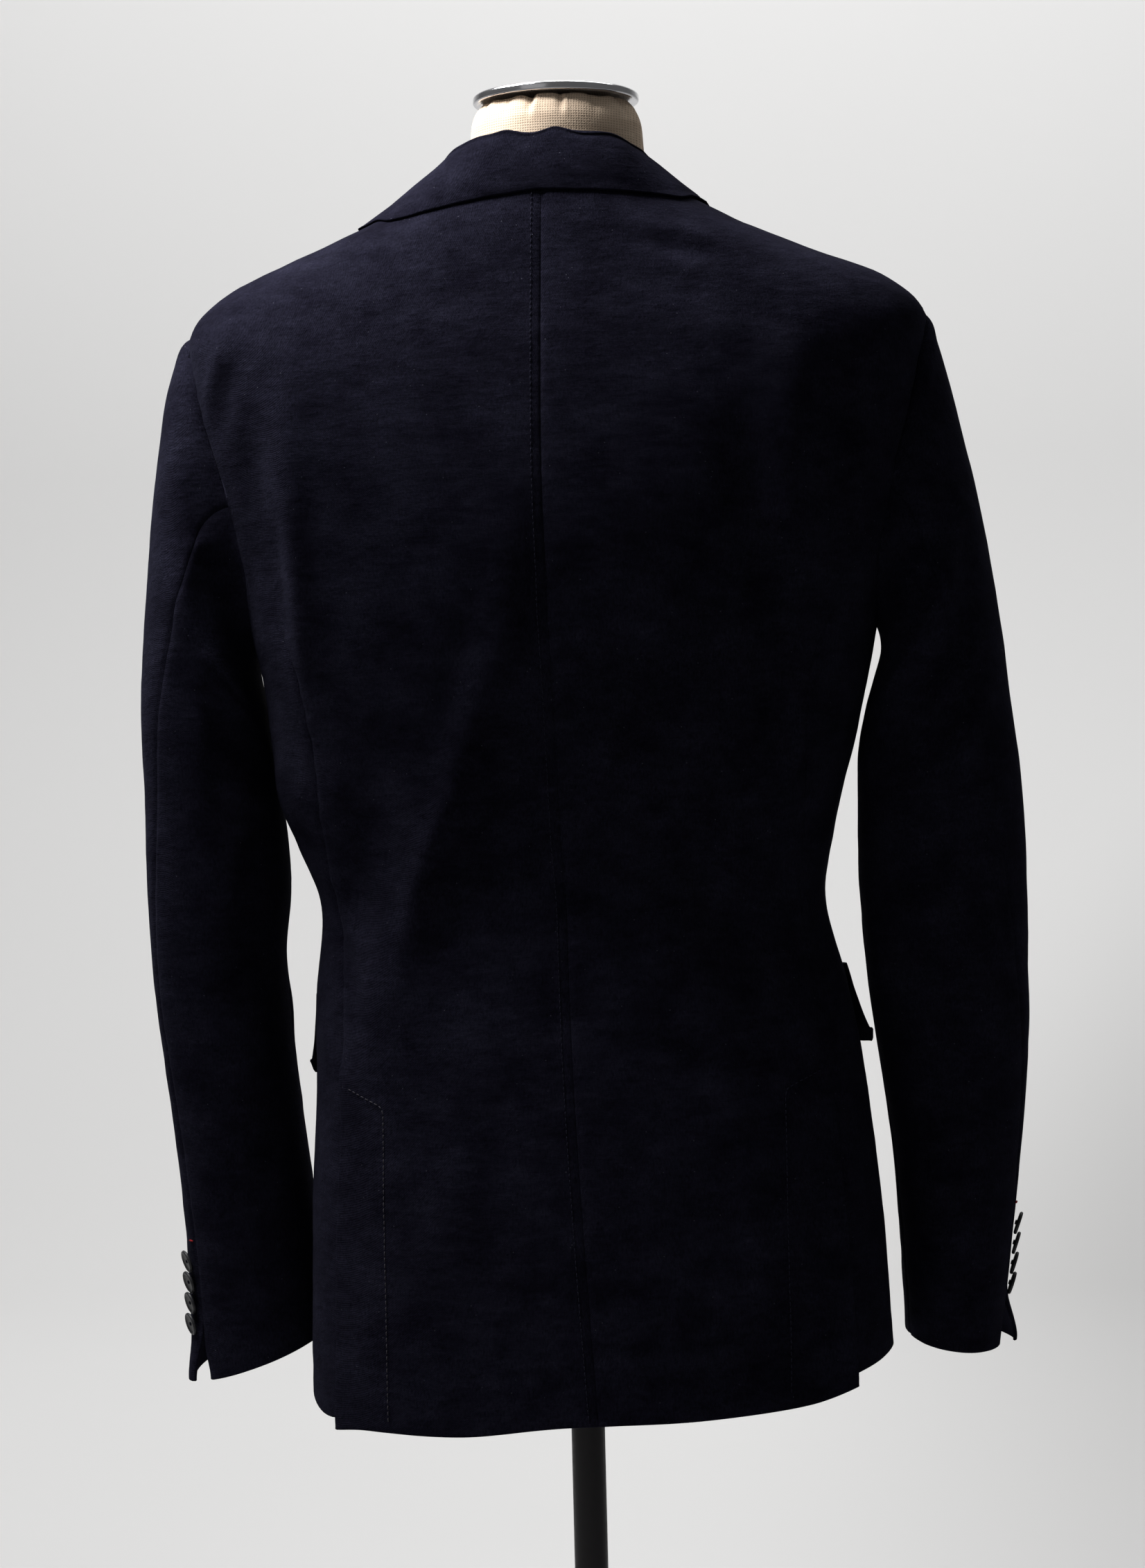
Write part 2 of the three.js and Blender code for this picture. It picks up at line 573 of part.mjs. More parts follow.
// The sleeves, one row for each ring from the armhole to the cuff. out and in are the ring's outer and
// inner ends seen from behind, front and back its reach along Y, dip how much lower its back edge hangs,
// and seam the angle of the hindarm seam, from the outer end towards the back.
const SLEEVES = {
  1: [
    { at: 0, outX: 233, outH: 667, inX: 198, inH: 474, front: -80, back: 52, dip: 0, seam: 100 },
    { at: 1, outX: 244, outH: 658, inX: 200, inH: 466, front: -78, back: 53, dip: 0, seam: 98 },
    { at: 2, outX: 251, outH: 636, inX: 200, inH: 459, front: -77, back: 54, dip: 0, seam: 94 },
    { at: 3, outX: 256, outH: 604, inX: 199.5, inH: 452, front: -76, back: 55, dip: 0, seam: 90 },
    { at: 4, outX: 261, outH: 566, inX: 198, inH: 444, front: -75, back: 55, dip: 0, seam: 84 },
    { at: 5, outX: 266, outH: 522, inX: 195.5, inH: 434, front: -74, back: 54, dip: 0, seam: 76 },
    { at: 6, outX: 270, outH: 476, inX: 193, inH: 418, front: -74, back: 52, dip: 0, seam: 66 },
    { at: 7, outX: 273, outH: 428, inX: 190, inH: 394, front: -74, back: 48, dip: 0, seam: 56 },
    { at: 8, outX: 274, outH: 378, inX: 185.5, inH: 360, front: -75, back: 42, dip: 0, seam: 48 },
    { at: 9, outX: 274, outH: 328, inX: 184, inH: 320, front: -76, back: 36, dip: 0, seam: 42 },
    { at: 10, outX: 273, outH: 278, inX: 188, inH: 276, front: -78, back: 29, dip: 0, seam: 38 },
    { at: 11, outX: 270, outH: 230, inX: 187, inH: 232, front: -80, back: 22, dip: 1, seam: 36 },
    { at: 12, outX: 266, outH: 184, inX: 183, inH: 188, front: -83, back: 15, dip: 2, seam: 37 },
    { at: 13, outX: 262, outH: 138, inX: 179, inH: 146, front: -86, back: 8, dip: 3, seam: 39 },
    { at: 14, outX: 259, outH: 94, inX: 175, inH: 107, front: -88, back: 3, dip: 4, seam: 41 },
    { at: 15, outX: 258, outH: 50, inX: 172, inH: 70, front: -90, back: -2, dip: 5, seam: 43 },
    { at: 16, outX: 258, outH: 6, inX: 170, inH: 34, front: -92, back: -6, dip: 7, seam: 45 },
  ],
  [-1]: [
    { at: 0, outX: 227, outH: 667, inX: 193, inH: 474, front: -80, back: 52, dip: 0, seam: 100 },
    { at: 1, outX: 235, outH: 652, inX: 195, inH: 466, front: -78, back: 53, dip: 0, seam: 98 },
    { at: 2, outX: 242, outH: 624, inX: 195, inH: 459, front: -77, back: 54, dip: 0, seam: 94 },
    { at: 3, outX: 249, outH: 592, inX: 193.5, inH: 452, front: -76, back: 55, dip: 0, seam: 90 },
    { at: 4, outX: 257, outH: 556, inX: 191, inH: 444, front: -75, back: 55, dip: 0, seam: 86 },
    { at: 5, outX: 264, outH: 516, inX: 188, inH: 434, front: -74, back: 54, dip: 0, seam: 80 },
    { at: 6, outX: 270, outH: 474, inX: 183.5, inH: 418, front: -74, back: 52, dip: 0, seam: 72 },
    { at: 7, outX: 275, outH: 428, inX: 179, inH: 396, front: -74, back: 48, dip: 0, seam: 62 },
    { at: 8, outX: 280, outH: 378, inX: 178, inH: 362, front: -75, back: 42, dip: 0, seam: 52 },
    { at: 9, outX: 282, outH: 328, inX: 177, inH: 322, front: -77, back: 36, dip: 0, seam: 44 },
    { at: 10, outX: 282, outH: 278, inX: 179, inH: 278, front: -80, back: 30, dip: 0, seam: 36 },
    { at: 11, outX: 282, outH: 230, inX: 183, inH: 234, front: -84, back: 24, dip: 0, seam: 29 },
    { at: 12, outX: 280, outH: 184, inX: 189, inH: 190, front: -88, back: 20, dip: 0, seam: 23 },
    { at: 13, outX: 275, outH: 140, inX: 194, inH: 148, front: -92, back: 17, dip: 1, seam: 18 },
    { at: 14, outX: 270, outH: 98, inX: 197, inH: 108, front: -95, back: 15, dip: 2, seam: 14 },
    { at: 15, outX: 265, outH: 58, inX: 199, inH: 68, front: -97, back: 14, dip: 3, seam: 11 },
    { at: 16, outX: 260, outH: 22, inX: 200, inH: 30, front: -99, back: 13, dip: 4, seam: 9 },
  ],
};
const SLEEVE_ROWS = 16;
const UNDERSLEEVE_DEG = 150;
const SLEEVE_SQUARE = 2.1;
const SLEEVE_SEAT = 2; // the sleeve head starts this far outside the armhole seam
const HEAD_ROWS = 2.6; // rows over which the head grows out of the armhole's own curve
const NOTCH_ROWS = 0.45; // the cuff's slit opens over the last part of a row
const NOTCH_DEG = 5;
const CUFF_FLARE = 5;
const sleeveAt = Object.fromEntries(
  [1, -1].map((side) => [
    side,
    readers(SLEEVES[side], "at", ["outX", "outH", "inX", "inH", "front", "back", "dip", "seam"]),
  ]),
);

// The largest folds of a sleeve: each lies across it, at a height that changes with the angle.
const SLEEVE_FOLDS = {
  1: [
    { at: 5.2, deg: 110, slant: 0.012, reach: 70, depth: 5, width: 0.5 },
    { at: 6.6, deg: 120, slant: 0.014, reach: 60, depth: -4, width: 0.5 },
    { at: 9.2, deg: 250, slant: -0.01, reach: 70, depth: -5, width: 0.6 },
    { at: 10.4, deg: 240, slant: -0.01, reach: 70, depth: 4, width: 0.5 },
  ],
  [-1]: [
    { at: 5.0, deg: 100, slant: 0.02, reach: 60, depth: 5, width: 0.5 },
    { at: 6.4, deg: 95, slant: 0.026, reach: 60, depth: -5, width: 0.55 },
    { at: 7.8, deg: 90, slant: 0.022, reach: 60, depth: 4, width: 0.5 },
    { at: 9.4, deg: 250, slant: -0.01, reach: 70, depth: -5, width: 0.6 },
  ],
};
function sleeveRelief(side, at, deg) {
  let lift = 0;
  for (const f of SLEEVE_FOLDS[side]) {
    const round = ((((deg - f.deg) % 360) + 540) % 360) - 180;
    const off = at - f.at - f.slant * round;
    lift += f.depth * smooth(f.reach, f.reach * 0.3, abs(round)) * Math.exp(-((off / f.width) ** 2));
  }
  return lift;
}

// The armhole's own curve in space, at a sleeve angle: 0 at the shoulder, 90 behind, 180 at the armpit.
function armholePoint(side, deg) {
  const turn = deg * DEG;
  const backward = sin(turn) >= 0;
  const local = (backward ? 1 : -1) * armholeDeg(turn, backward);
  const body = fromSide(side, local);
  const level = armholeLevel(turn);
  const away = bodyOut(body, level).add(new THREE.Vector3(side, 0, 0)).normalize();
  return bodyPoint(body, level).addScaledVector(away, SLEEVE_SEAT);
}

function sleevePoint(side, at, deg) {
  const read = sleeveAt[side];
  const outer = new THREE.Vector3(read.outX(at), 0, read.outH(at));
  const inner = new THREE.Vector3(read.inX(at), 0, read.inH(at));
  const half = outer.clone().sub(inner).multiplyScalar(0.5);
  const middle = outer.clone().add(inner).multiplyScalar(0.5);
  const c = cos(deg * DEG);
  const s = sin(deg * DEG);
  const power = 2 / SLEEVE_SQUARE;
  const lift = sleeveRelief(side, at, deg);
  const grow = 1 + lift / half.length();
  const p = middle.addScaledVector(half, sign(c) * abs(c) ** power * grow);
  const [front, back] = [read.front(at), read.back(at)];
  p.y = (front + back) / 2 + (sign(s) * abs(s) ** power * grow * (back - front)) / 2;
  p.z -= s * read.dip(at);
  p.x *= side;
  const onSleeve = smooth(0, HEAD_ROWS, at);
  return onSleeve < 1 ? armholePoint(side, deg).lerp(p, onSleeve) : p;
}

// The topsleeve or undersleeve. The two seams open into a slit at the cuff, behind the buttons.
function sleevePiece(side, under) {
  const rows = SLEEVE_ROWS + 3;
  const cols = under ? 8 : 12;
  return patchWall(rows, cols, (share, across, i) => {
    const at = i < rows - 3 ? i : SLEEVE_ROWS - 1 + (i - rows + 4) / 3;
    const seam = sleeveAt[side].seam(at);
    const slit = NOTCH_DEG * smooth(SLEEVE_ROWS - NOTCH_ROWS, SLEEVE_ROWS, at);
    const from = under ? seam + slit : seam + UNDERSLEEVE_DEG - 360;
    const to = under ? seam + UNDERSLEEVE_DEG : seam - slit;
    const deg = lerp(from, to, across);
    const surface = (d, a) => sleevePoint(side, a, d);
    const out = outward(surface, deg, min(SLEEVE_ROWS - 0.05, max(0.05, at)), 1, 0.05);
    const centre = sleevePoint(side, at, deg + 180);
    const point = sleevePoint(side, at, deg);
    if (out.dot(point.clone().sub(centre)) < 0) out.negate();
    const flare = under ? 0 : CUFF_FLARE * smooth(0.8, 1, across) * smooth(SLEEVE_ROWS - 1, SLEEVE_ROWS, at);
    return { point: point.addScaledVector(out, flare), out };
  });
}

// A pocket flap on a front, hanging from just under the pocket's edge.
const POCKETS = {
  1: { rear: 158, rearHeight: 250, slope: 0.03, kick: 4 },
  [-1]: { rear: 160, rearHeight: 262, slope: 0.03, kick: 6 },
};
function flap(side) {
  const { rearHeight, slope, kick } = POCKETS[side];
  const rows = 4;
  const cols = 8;
  return patchWall(rows, cols, (down, share) => {
    const level = rearHeight - POCKET_DEPTH * down - slope * POCKET_LENGTH * share;
    const rear = -4;
    const front = rear - (POCKET_LENGTH / 165) * 57.3;
    const local = lerp(rear, front, share);
    const deg = fromSide(side, local);
    const out = bodyOut(deg, level);
    const lift = CLOTH + 0.8 + kick * down * down * smooth(0.7, 0, share) + 0.8 * down;
    return { point: bodyPoint(deg, level).addScaledVector(out, lift), out };
  });
}

// A button on its thread shank, with a raised rim and a dished middle.
function button(radius) {
  const profile = [
    [0, 0.3],
    [1.5, 0.3],
    [1.5, 2.3],
    [radius - 0.8, 2.5],
    [radius, 3.4],
    [radius - 0.6, 4.7],
    [radius * 0.72, 4.3],
    [0, 4.1],
  ];
  return new THREE.LatheGeometry(profile.map(([r, z]) => new THREE.Vector2(r, z)), 14);
}

const FRONT_BUTTON_RADIUS = 10;
const CUFF_BUTTON_RADIUS = 7.5;
const CUFF_BUTTONS = {
  1: { lowest: 42, spacing: 13.4, before: 12, tilt: 12 },
  [-1]: { lowest: 58, spacing: 12.8, before: 8, tilt: 12 },
};

const NAVY = new THREE.Color(0x0d0e18);
const cloth = new THREE.MeshStandardMaterial({ color: NAVY, roughness: 0.95, metalness: 0 });
const horn = new THREE.MeshStandardMaterial({ color: 0x17181a, roughness: 0.35, metalness: 0 });
const linen = new THREE.MeshStandardMaterial({ color: 0xbfa88e, roughness: 0.95, metalness: 0 });
const chrome = new THREE.MeshStandardMaterial({ color: 0xc8c8c8, roughness: 0.12, metalness: 1 });
const blackSteel = new THREE.MeshStandardMaterial({ color: 0x141414, roughness: 0.4, metalness: 0.6 });

const blazer = new THREE.Group();
const garment = new THREE.Group();
garment.position.z = HEM_HEIGHT;
blazer.add(garment);

function add(name, geometry, material, parent = garment) {
  const mesh = new THREE.Mesh(geometry, material);
  mesh.name = name;
  parent.add(mesh);
  return mesh;
}

for (const [side, name] of [[1, "left"], [-1, "right"]]) {
  add("back_" + name, backPanel(side), cloth);
  add("side_" + name, sidePanel(side), cloth);
  add("front_" + name, frontPanel(side), cloth);
  add("lapel_" + name, lapel(side), cloth);
  add("topsleeve_" + name, sleevePiece(side, false), cloth);
  add("undersleeve_" + name, sleevePiece(side, true), cloth);
  add("pocket_flap_" + name, flap(side), cloth);
}
add("collar_leaf", collarLeaf(), cloth);
add("collar_stand", collarStand(), cloth);

// Seats a button on a place of the cloth, its axis along the given direction.
function seatButton(name, radius, point, out) {
  const mesh = add(name, button(radius), horn);
  mesh.position.copy(point);
  mesh.quaternion.setFromUnitVectors(new THREE.Vector3(0, 1, 0), out);
}

[UPPER_BUTTON, LOWER_BUTTON].forEach((height, i) => {
  const { point, out } = onFace(0, height, -1, OVERLAP_LIFT);
  seatButton("front_button_" + (i + 1), FRONT_BUTTON_RADIUS, point, out);
});

// The sleeve row whose outer end has a given height.
function sleeveRow(side, height) {
  let low = 8;
  let high = SLEEVE_ROWS;
  for (let i = 0; i < 30; i += 1) {
    const middle = (low + high) / 2;
    if (sleeveAt[side].outH(middle) > height) low = middle;
    else high = middle;
  }
  return (low + high) / 2;
}

for (const [side, name] of [[1, "left"], [-1, "right"]]) {
  const { lowest, spacing, before, tilt } = CUFF_BUTTONS[side];
  for (let i = 0; i < 4; i += 1) {
    const at = sleeveRow(side, lowest + spacing * i);
    const deg = sleeveAt[side].seam(at) - before;
    const point = sleevePoint(side, at, deg);
    const out = outward((d, a) => sleevePoint(side, a, d), deg, at, 1, 0.05);
    if (out.x * side < 0) out.negate();
    const flare = CUFF_FLARE * smooth(SLEEVE_ROWS - 1, SLEEVE_ROWS, at);
    const level = new THREE.Vector3(-out.y, out.x, 0).normalize();
    const leaning = out.clone().applyAxisAngle(level, tilt * DEG);
    seatButton("cuff_button_" + name + "_" + (4 - i), CUFF_BUTTON_RADIUS,
      point.addScaledVector(out, flare + 0.6), leaning);
  }
}

// The dress form: the body's own shape, smooth and a little smaller, then the neck under its cap.
const FORM_CLEARANCE = [
  { level: FORM_BOTTOM, room: 16 },
  { level: 200, room: 13 },
  { level: 305, room: 8 },
  { level: 400, room: 9 },
  { level: 474, room: 10 },
  { level: 560, room: 9 },
  { level: 605, room: 7 },
  { level: SHOULDER_LEVEL, room: CLOTH + 3 },
  { level: 652, room: CLOTH + 1.4 },
  { level: 674, room: CLOTH + 0.5 },
  { level: 698, room: CLOTH + 0.5 },
  { level: 724, room: CLOTH + 0.8 },
  { level: NECK_LEVEL, room: CLOTH + 5 },
];
const formRoom = reader(FORM_CLEARANCE, "level", "room");
const FORM_LEVELS = [
  FORM_BOTTOM, 110, 155, 200, 250, 305, 350, 400, 450, 500, 545, 580, 605,
  ...PANEL_LEVELS.filter((l) => l >= SHOULDER_LEVEL),
];
const NECK_RINGS = [
  { height: 764, radius: 55.5 },
  { height: 778, radius: 54.3 },
  { height: 791, radius: 53.2 },
  { height: 800, radius: 50 },
  { height: CAP_TOP - CAP_BAND - 0.3, radius: 45 },
];
const THROAT_COLS = 4;

// The form's points stand behind those of the panels, so that the cloth lies on it evenly.
function formAngles(level) {
  const centre = angleAt(backSeam.centre(level), level, 1);
  const left = frontEdge(level, 1);
  const right = 180 - frontEdge(level, -1);
  const steps = (from, to, count) => Array.from({ length: count }, (_, k) => lerp(from, to, k / count));
  return [
    ...steps(0, centre, BACK_COLS - 1),
    ...steps(centre, 180, BACK_COLS - 1),
    ...steps(180, right, FRONT_COLS - 1),
    ...steps(right, left + 360, THROAT_COLS),
    ...steps(left + 360, 360, FRONT_COLS - 1),
  ];
}

function dressForm() {
  const rings = FORM_LEVELS.map((level) =>
    formAngles(max(level, BREAK_HEIGHT + 40)).map((deg) => {
      const out = outward(bodyShape, deg, level, STEP_DEG, STEP_LEVEL);
      const p = bodyShape(deg, level).addScaledVector(out, -formRoom(level));
      if (level === FORM_BOTTOM) p.z = level;
      return p;
    }),
  );
  const turns = formAngles(NECK_LEVEL).map((deg) => deg * DEG);
  for (const { height, radius } of NECK_RINGS) {
    rings.push(turns.map((a) => new THREE.Vector3(radius * cos(a), radius * sin(a), height)));
  }
  const lastFront = turns.length - FRONT_COLS + 1;
  return stacked(rings, (j) => j < BACK_COLS - 1 || j >= lastFront);
}

// A closed solid from rings of points, with flat ends. leaning(j) tells which way a column's quads are split.
function stacked(rings, leaning) {
  const count = rings[0].length;
  const ends = [rings[0], rings[rings.length - 1]].map((r) =>
    r.reduce((sum, p) => sum.add(p), new THREE.Vector3()).multiplyScalar(1 / count),
  );
  const points = [...rings.flat(), ...ends];
  const faces = [];
  for (let i = 0; i < rings.length - 1; i += 1) {
    for (let j = 0; j < count; j += 1) {
      const k = (j + 1) % count;
      const [a, b, c, d] = [i * count + j, i * count + k, (i + 1) * count + k, (i + 1) * count + j];
      if (leaning(j)) faces.push(a, b, d, b, c, d);
      else faces.push(a, b, c, a, c, d);
    }
  }
  const top = (rings.length - 1) * count;
  for (let j = 0; j < count; j += 1) {
    const k = (j + 1) % count;
    faces.push(points.length - 2, k, j, points.length - 1, top + j, top + k);
  }
  const geometry = new THREE.BufferGeometry();
  geometry.setAttribute(
    "position",
    new THREE.Float32BufferAttribute(points.flatMap((p) => [p.x, p.y, p.z]), 3),
  );
  geometry.setIndex(faces);
  return facingOut(geometry);
}
add("dress_form", dressForm(), linen);

// A solid of revolution about the stand's axis, from radii and heights.
function turned(profile, segments) {
  const geometry = new THREE.LatheGeometry(profile.map(([r, z]) => new THREE.Vector2(r, z)), segments);
  return geometry.rotateX(Math.PI / 2);
}

add(
  "neck_cap",
  turned(
    [
      [0, CAP_TOP - CAP_BAND],
      [CAP_RADIUS - 0.8, CAP_TOP - CAP_BAND],
      [CAP_RADIUS, CAP_TOP - CAP_BAND + 0.8],
      [CAP_RADIUS, CAP_TOP - 1.2],
      [CAP_RADIUS - 1.2, CAP_TOP - 0.2],
      [CAP_RADIUS - 4, CAP_TOP + 0.4],
      [CAP_RADIUS - 12, CAP_TOP + 2],
      [0, CAP_TOP + 5],
    ],
    40,
  ),
  chrome,
);

// The stand: a plain pole from the form's underside into a round foot.
const SOCKET_TOP = 46;
const SOCKET_RADIUS = 17;
const FORM_PLATE = 6;
add(
  "stand_pole",
  turned(
    [
      [0, SOCKET_TOP - 30],
      [POLE_RADIUS, SOCKET_TOP - 30],
      [POLE_RADIUS, HEM_HEIGHT + FORM_BOTTOM - 0.3 - FORM_PLATE],
      [3 * POLE_RADIUS, HEM_HEIGHT + FORM_BOTTOM - 0.3 - FORM_PLATE],
      [3 * POLE_RADIUS, HEM_HEIGHT + FORM_BOTTOM - 0.3],
      [0, HEM_HEIGHT + FORM_BOTTOM - 0.3],
    ],
    24,
  ),
  blackSteel,
  blazer,
);
add(
  "stand_foot",
  turned(
    [
      [0, 0],
      [FOOT_RADIUS - 1, 0],
      [FOOT_RADIUS, 1],
      [FOOT_RADIUS, FOOT_THICK - 2],
      [FOOT_RADIUS - 3, FOOT_THICK],
      [SOCKET_RADIUS + 5, FOOT_THICK + 2],
      [SOCKET_RADIUS, FOOT_THICK + 7],
      [SOCKET_RADIUS, SOCKET_TOP - 1.5],
      [SOCKET_RADIUS - 1.5, SOCKET_TOP],
      [POLE_RADIUS + 0.3, SOCKET_TOP],
      [POLE_RADIUS + 0.3, SOCKET_TOP - 30.3],
      [0, SOCKET_TOP - 30.3],
    ],
    40,
  ),
  blackSteel,
  blazer,
);

// Sets the origin under the middle of the whole object, on the floor.
const box = new THREE.Box3().setFromObject(blazer, true);
blazer.position.set(-(box.min.x + box.max.x) / 2, -(box.min.y + box.max.y) / 2, -box.min.z);

export default blazer;
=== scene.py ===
import math

import bpy
import numpy as np
from mathutils import Matrix, Vector


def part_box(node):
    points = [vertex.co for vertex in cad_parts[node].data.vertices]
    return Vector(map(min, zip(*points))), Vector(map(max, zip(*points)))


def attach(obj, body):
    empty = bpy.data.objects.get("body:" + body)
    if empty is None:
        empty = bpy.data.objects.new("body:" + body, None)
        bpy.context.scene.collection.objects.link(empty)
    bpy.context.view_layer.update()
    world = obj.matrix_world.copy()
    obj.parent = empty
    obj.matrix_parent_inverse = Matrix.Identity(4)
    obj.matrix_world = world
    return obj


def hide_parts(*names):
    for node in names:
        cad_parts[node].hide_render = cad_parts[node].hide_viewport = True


# A blazer on a dress form. Its shapes are worked out in millimetres, with x and y from the stand's axis
# and heights above the centre-back hem, as the garment is drawn. place() turns them into metres.
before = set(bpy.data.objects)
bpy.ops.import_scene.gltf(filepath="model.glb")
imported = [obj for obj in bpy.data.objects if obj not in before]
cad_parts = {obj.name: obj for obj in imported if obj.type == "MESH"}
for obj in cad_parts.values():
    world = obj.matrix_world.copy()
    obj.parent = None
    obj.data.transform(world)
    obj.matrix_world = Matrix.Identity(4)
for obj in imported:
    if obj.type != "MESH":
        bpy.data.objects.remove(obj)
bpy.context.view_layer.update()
scene = bpy.context.scene
BODY = "root"

# Where the garment stands in the row frame
HEM_HEIGHT = 520.0
MM = 1000.0
POLE_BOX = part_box("stand_pole")
AXIS_X = (POLE_BOX[0][0] + POLE_BOX[1][0]) / 2 * MM


def place(points):
    """Garment millimetres to row-frame metres."""
    return (np.asarray(points, float) + (AXIS_X, 0.0, HEM_HEIGHT)) / MM


# Camera
CAMERA_DISTANCE = 2300.0
CAMERA_HEIGHT = 379.0
CAMERA_YAW = math.radians(4.5)
CAMERA_ROLL = math.radians(1.4)
LENS_MM = 84.15
SENSOR_MM = 36.0


def add_camera():
    forward = Vector((math.sin(CAMERA_YAW), -math.cos(CAMERA_YAW), 0.0))
    level_right = forward.cross(Vector((0, 0, 1)))
    cos, sin = math.cos(CAMERA_ROLL), math.sin(CAMERA_ROLL)
    right = level_right * cos - Vector((0, 0, sin))
    up = level_right * sin + Vector((0, 0, cos))
    data = bpy.data.cameras.new("camera")
    data.sensor_fit = "VERTICAL"
    data.sensor_height = SENSOR_MM
    data.lens = LENS_MM
    camera = bpy.data.objects.new("camera", data)
    scene.collection.objects.link(camera)
    axes = Matrix((right, up, -forward)).transposed().to_4x4()
    spot = Vector(place((0, 0, CAMERA_HEIGHT))) - forward * (CAMERA_DISTANCE / MM)
    camera.matrix_world = Matrix.Translation(spot) @ axes
    scene.camera = camera


add_camera()


# Tables
def smooth(a, b, t):
    """0 at a and 1 at b, with a soft start and end."""
    k = np.clip((np.asarray(t, float) - a) / (b - a), 0, 1)
    return k * k * (3 - 2 * k)


def lerp(a, b, t):
    return a + (b - a) * t


def bell(distance, width):
    """1 at no distance, fading evenly on both sides."""
    return np.exp(-((distance / width) ** 2))


def bisected(low, high, goes_up, steps=24):
    """The stretch from low to high, halved again and again towards where goes_up turns false."""
    for _ in range(steps):
        middle = (low + high) / 2
        up = goes_up(middle)
        low, high = np.where(up, middle, low), np.where(up, high, middle)
    return low, high


class Reader:
    """A smooth curve through one column of a table, read at places along its first column."""

    def __init__(self, x, y):
        self.x, self.y = np.asarray(x, float), np.asarray(y, float)
        after = np.minimum(np.arange(len(self.x)) + 1, len(self.x) - 1)
        before = np.maximum(np.arange(len(self.x)) - 1, 0)
        self.slope = (self.y[after] - self.y[before]) / (self.x[after] - self.x[before])

    def __call__(self, at):
        at = np.asarray(at, float)
        i = np.clip(np.searchsorted(self.x, at, side="left") - 1, 0, len(self.x) - 2)
        h = self.x[i + 1] - self.x[i]
        t = np.clip((at - self.x[i]) / h, 0, 1)
        t2, t3 = t * t, t * t * t
        return (
            (2 * t3 - 3 * t2 + 1) * self.y[i]
            + (t3 - 2 * t2 + t) * h * self.slope[i]
            + (3 * t2 - 2 * t3) * self.y[i + 1]
            + (t3 - t2) * h * self.slope[i + 1]
        )


def table(columns, rows):
    """{column: Reader} for every column but the first, which is what they are read along."""
    names = columns.split()
    values = list(zip(*rows))
    return {name: Reader(values[0], values[k]) for k, name in enumerate(names) if k}


# The garment's driving sizes
CLOTH = 2.0
NECK_LEVEL = 752.0
LOWEST_LEVEL = -40.0
HIGHEST_LEVEL = NECK_LEVEL + 20
ARMPIT_LEVEL = 474.0
SHOULDER_LEVEL = 630.0
ARMHOLE_BACK_DEG = 20.0
ARMHOLE_FRONT_DEG = 36.0
FRONT_SEAM_DEG = -36.0
SIDE_SEAM_TOP = 505.0
VENT_TOP = 190.0
VENT_UNDERLAP_DEG = 14.0
VENT_LIFT = 3.0
OVERLAP = 18.0
OVERLAP_LIFT = 3.0
BREAK_HEIGHT = 338.0
LOWER_BUTTON = 215.0
UPPER_BUTTON = 322.0
LAPEL_WIDTH = 76.0
LAPEL_CORNER = 628.0
GORGE_TOP = 690.0
HEM_BLEND = 120.0
SIDE_RISE = 7.0
POCKET_LENGTH = 150.0
POCKET_DEPTH = 50.0
TOPSTITCH_IN = 6.0
PANEL_WIDTH = 190.0
SIDE_WIDTH = 130.0

BODY_RINGS = table("level side front left right back chest square", [
    (-20, -20, -20, 172, 195, 119, 132, 2.3),
    (60, 60, 60, 170, 191, 117, 131, 2.3),
    (130, 130, 130, 169, 186, 113, 128, 2.3),
    (200, 200, 200, 165, 178, 106, 123, 2.25),
    (250, 250, 250, 164, 169, 100, 119, 2.2),
    (305, 305, 305, 160, 157, 97, 117, 2.2),
    (345, 345, 345, 174, 163, 100, 119, 2.25),
    (372, 372, 372, 185, 169, 104, 122, 2.28),
    (402, 402, 402, 188, 177, 109, 126, 2.3),
    (450, 450, 450, 193, 188, 118, 132, 2.35),
    (474, 474, 474, 198, 193, 121, 133, 2.4),
    (500, 506, 494, 205, 201, 124, 133, 2.4),
    (526, 540, 514, 213, 210, 126, 131, 2.4),
    (552, 574, 534, 222, 218, 126, 128, 2.4),
    (580, 607, 556, 229, 224, 124, 123, 2.4),
    (605, 638, 577, 233, 227, 120, 117, 2.4),
    (630, 667, 598, 233, 227, 115, 109, 2.4),
    (660, 690, 622, 210, 201, 107, 99, 2.35),
    (690, 708, 646, 173, 158, 97, 87, 2.3),
    (722, 727, 672, 128, 114, 86, 74, 2.2),
    (752, 748, 698, 86, 75, 71, 60, 2.1),
])

HEM = table("deg height", [
    (-95, -6), (-60, -10), (-30, -6), (0, -1), (25, -12), (45, -9), (70, -10), (90, -4), (110, -2),
    (135, 4), (155, 13), (180, 20), (215, 12), (250, -2), (275, -6),
])["height"]

BACK_SEAMS = table("height centre left right", [
    (-20, -17, 147, 170),
    (60, -12, 145, 167),
    (130, -8, 142, 162),
    (190, -5, 139, 156),
    (250, -3, 140, 147),
    (305, -2, 145, 142),
    (345, 0, 151, 146),
    (400, 1, 154, 149),
    (450, 2, 160, 154),
    (480, 3, 173, 167),
    (505, 3, 193, 189),
    (560, 4, 193, 189),
    (640, 4, 193, 189),
    (760, 4, 193, 189),
])

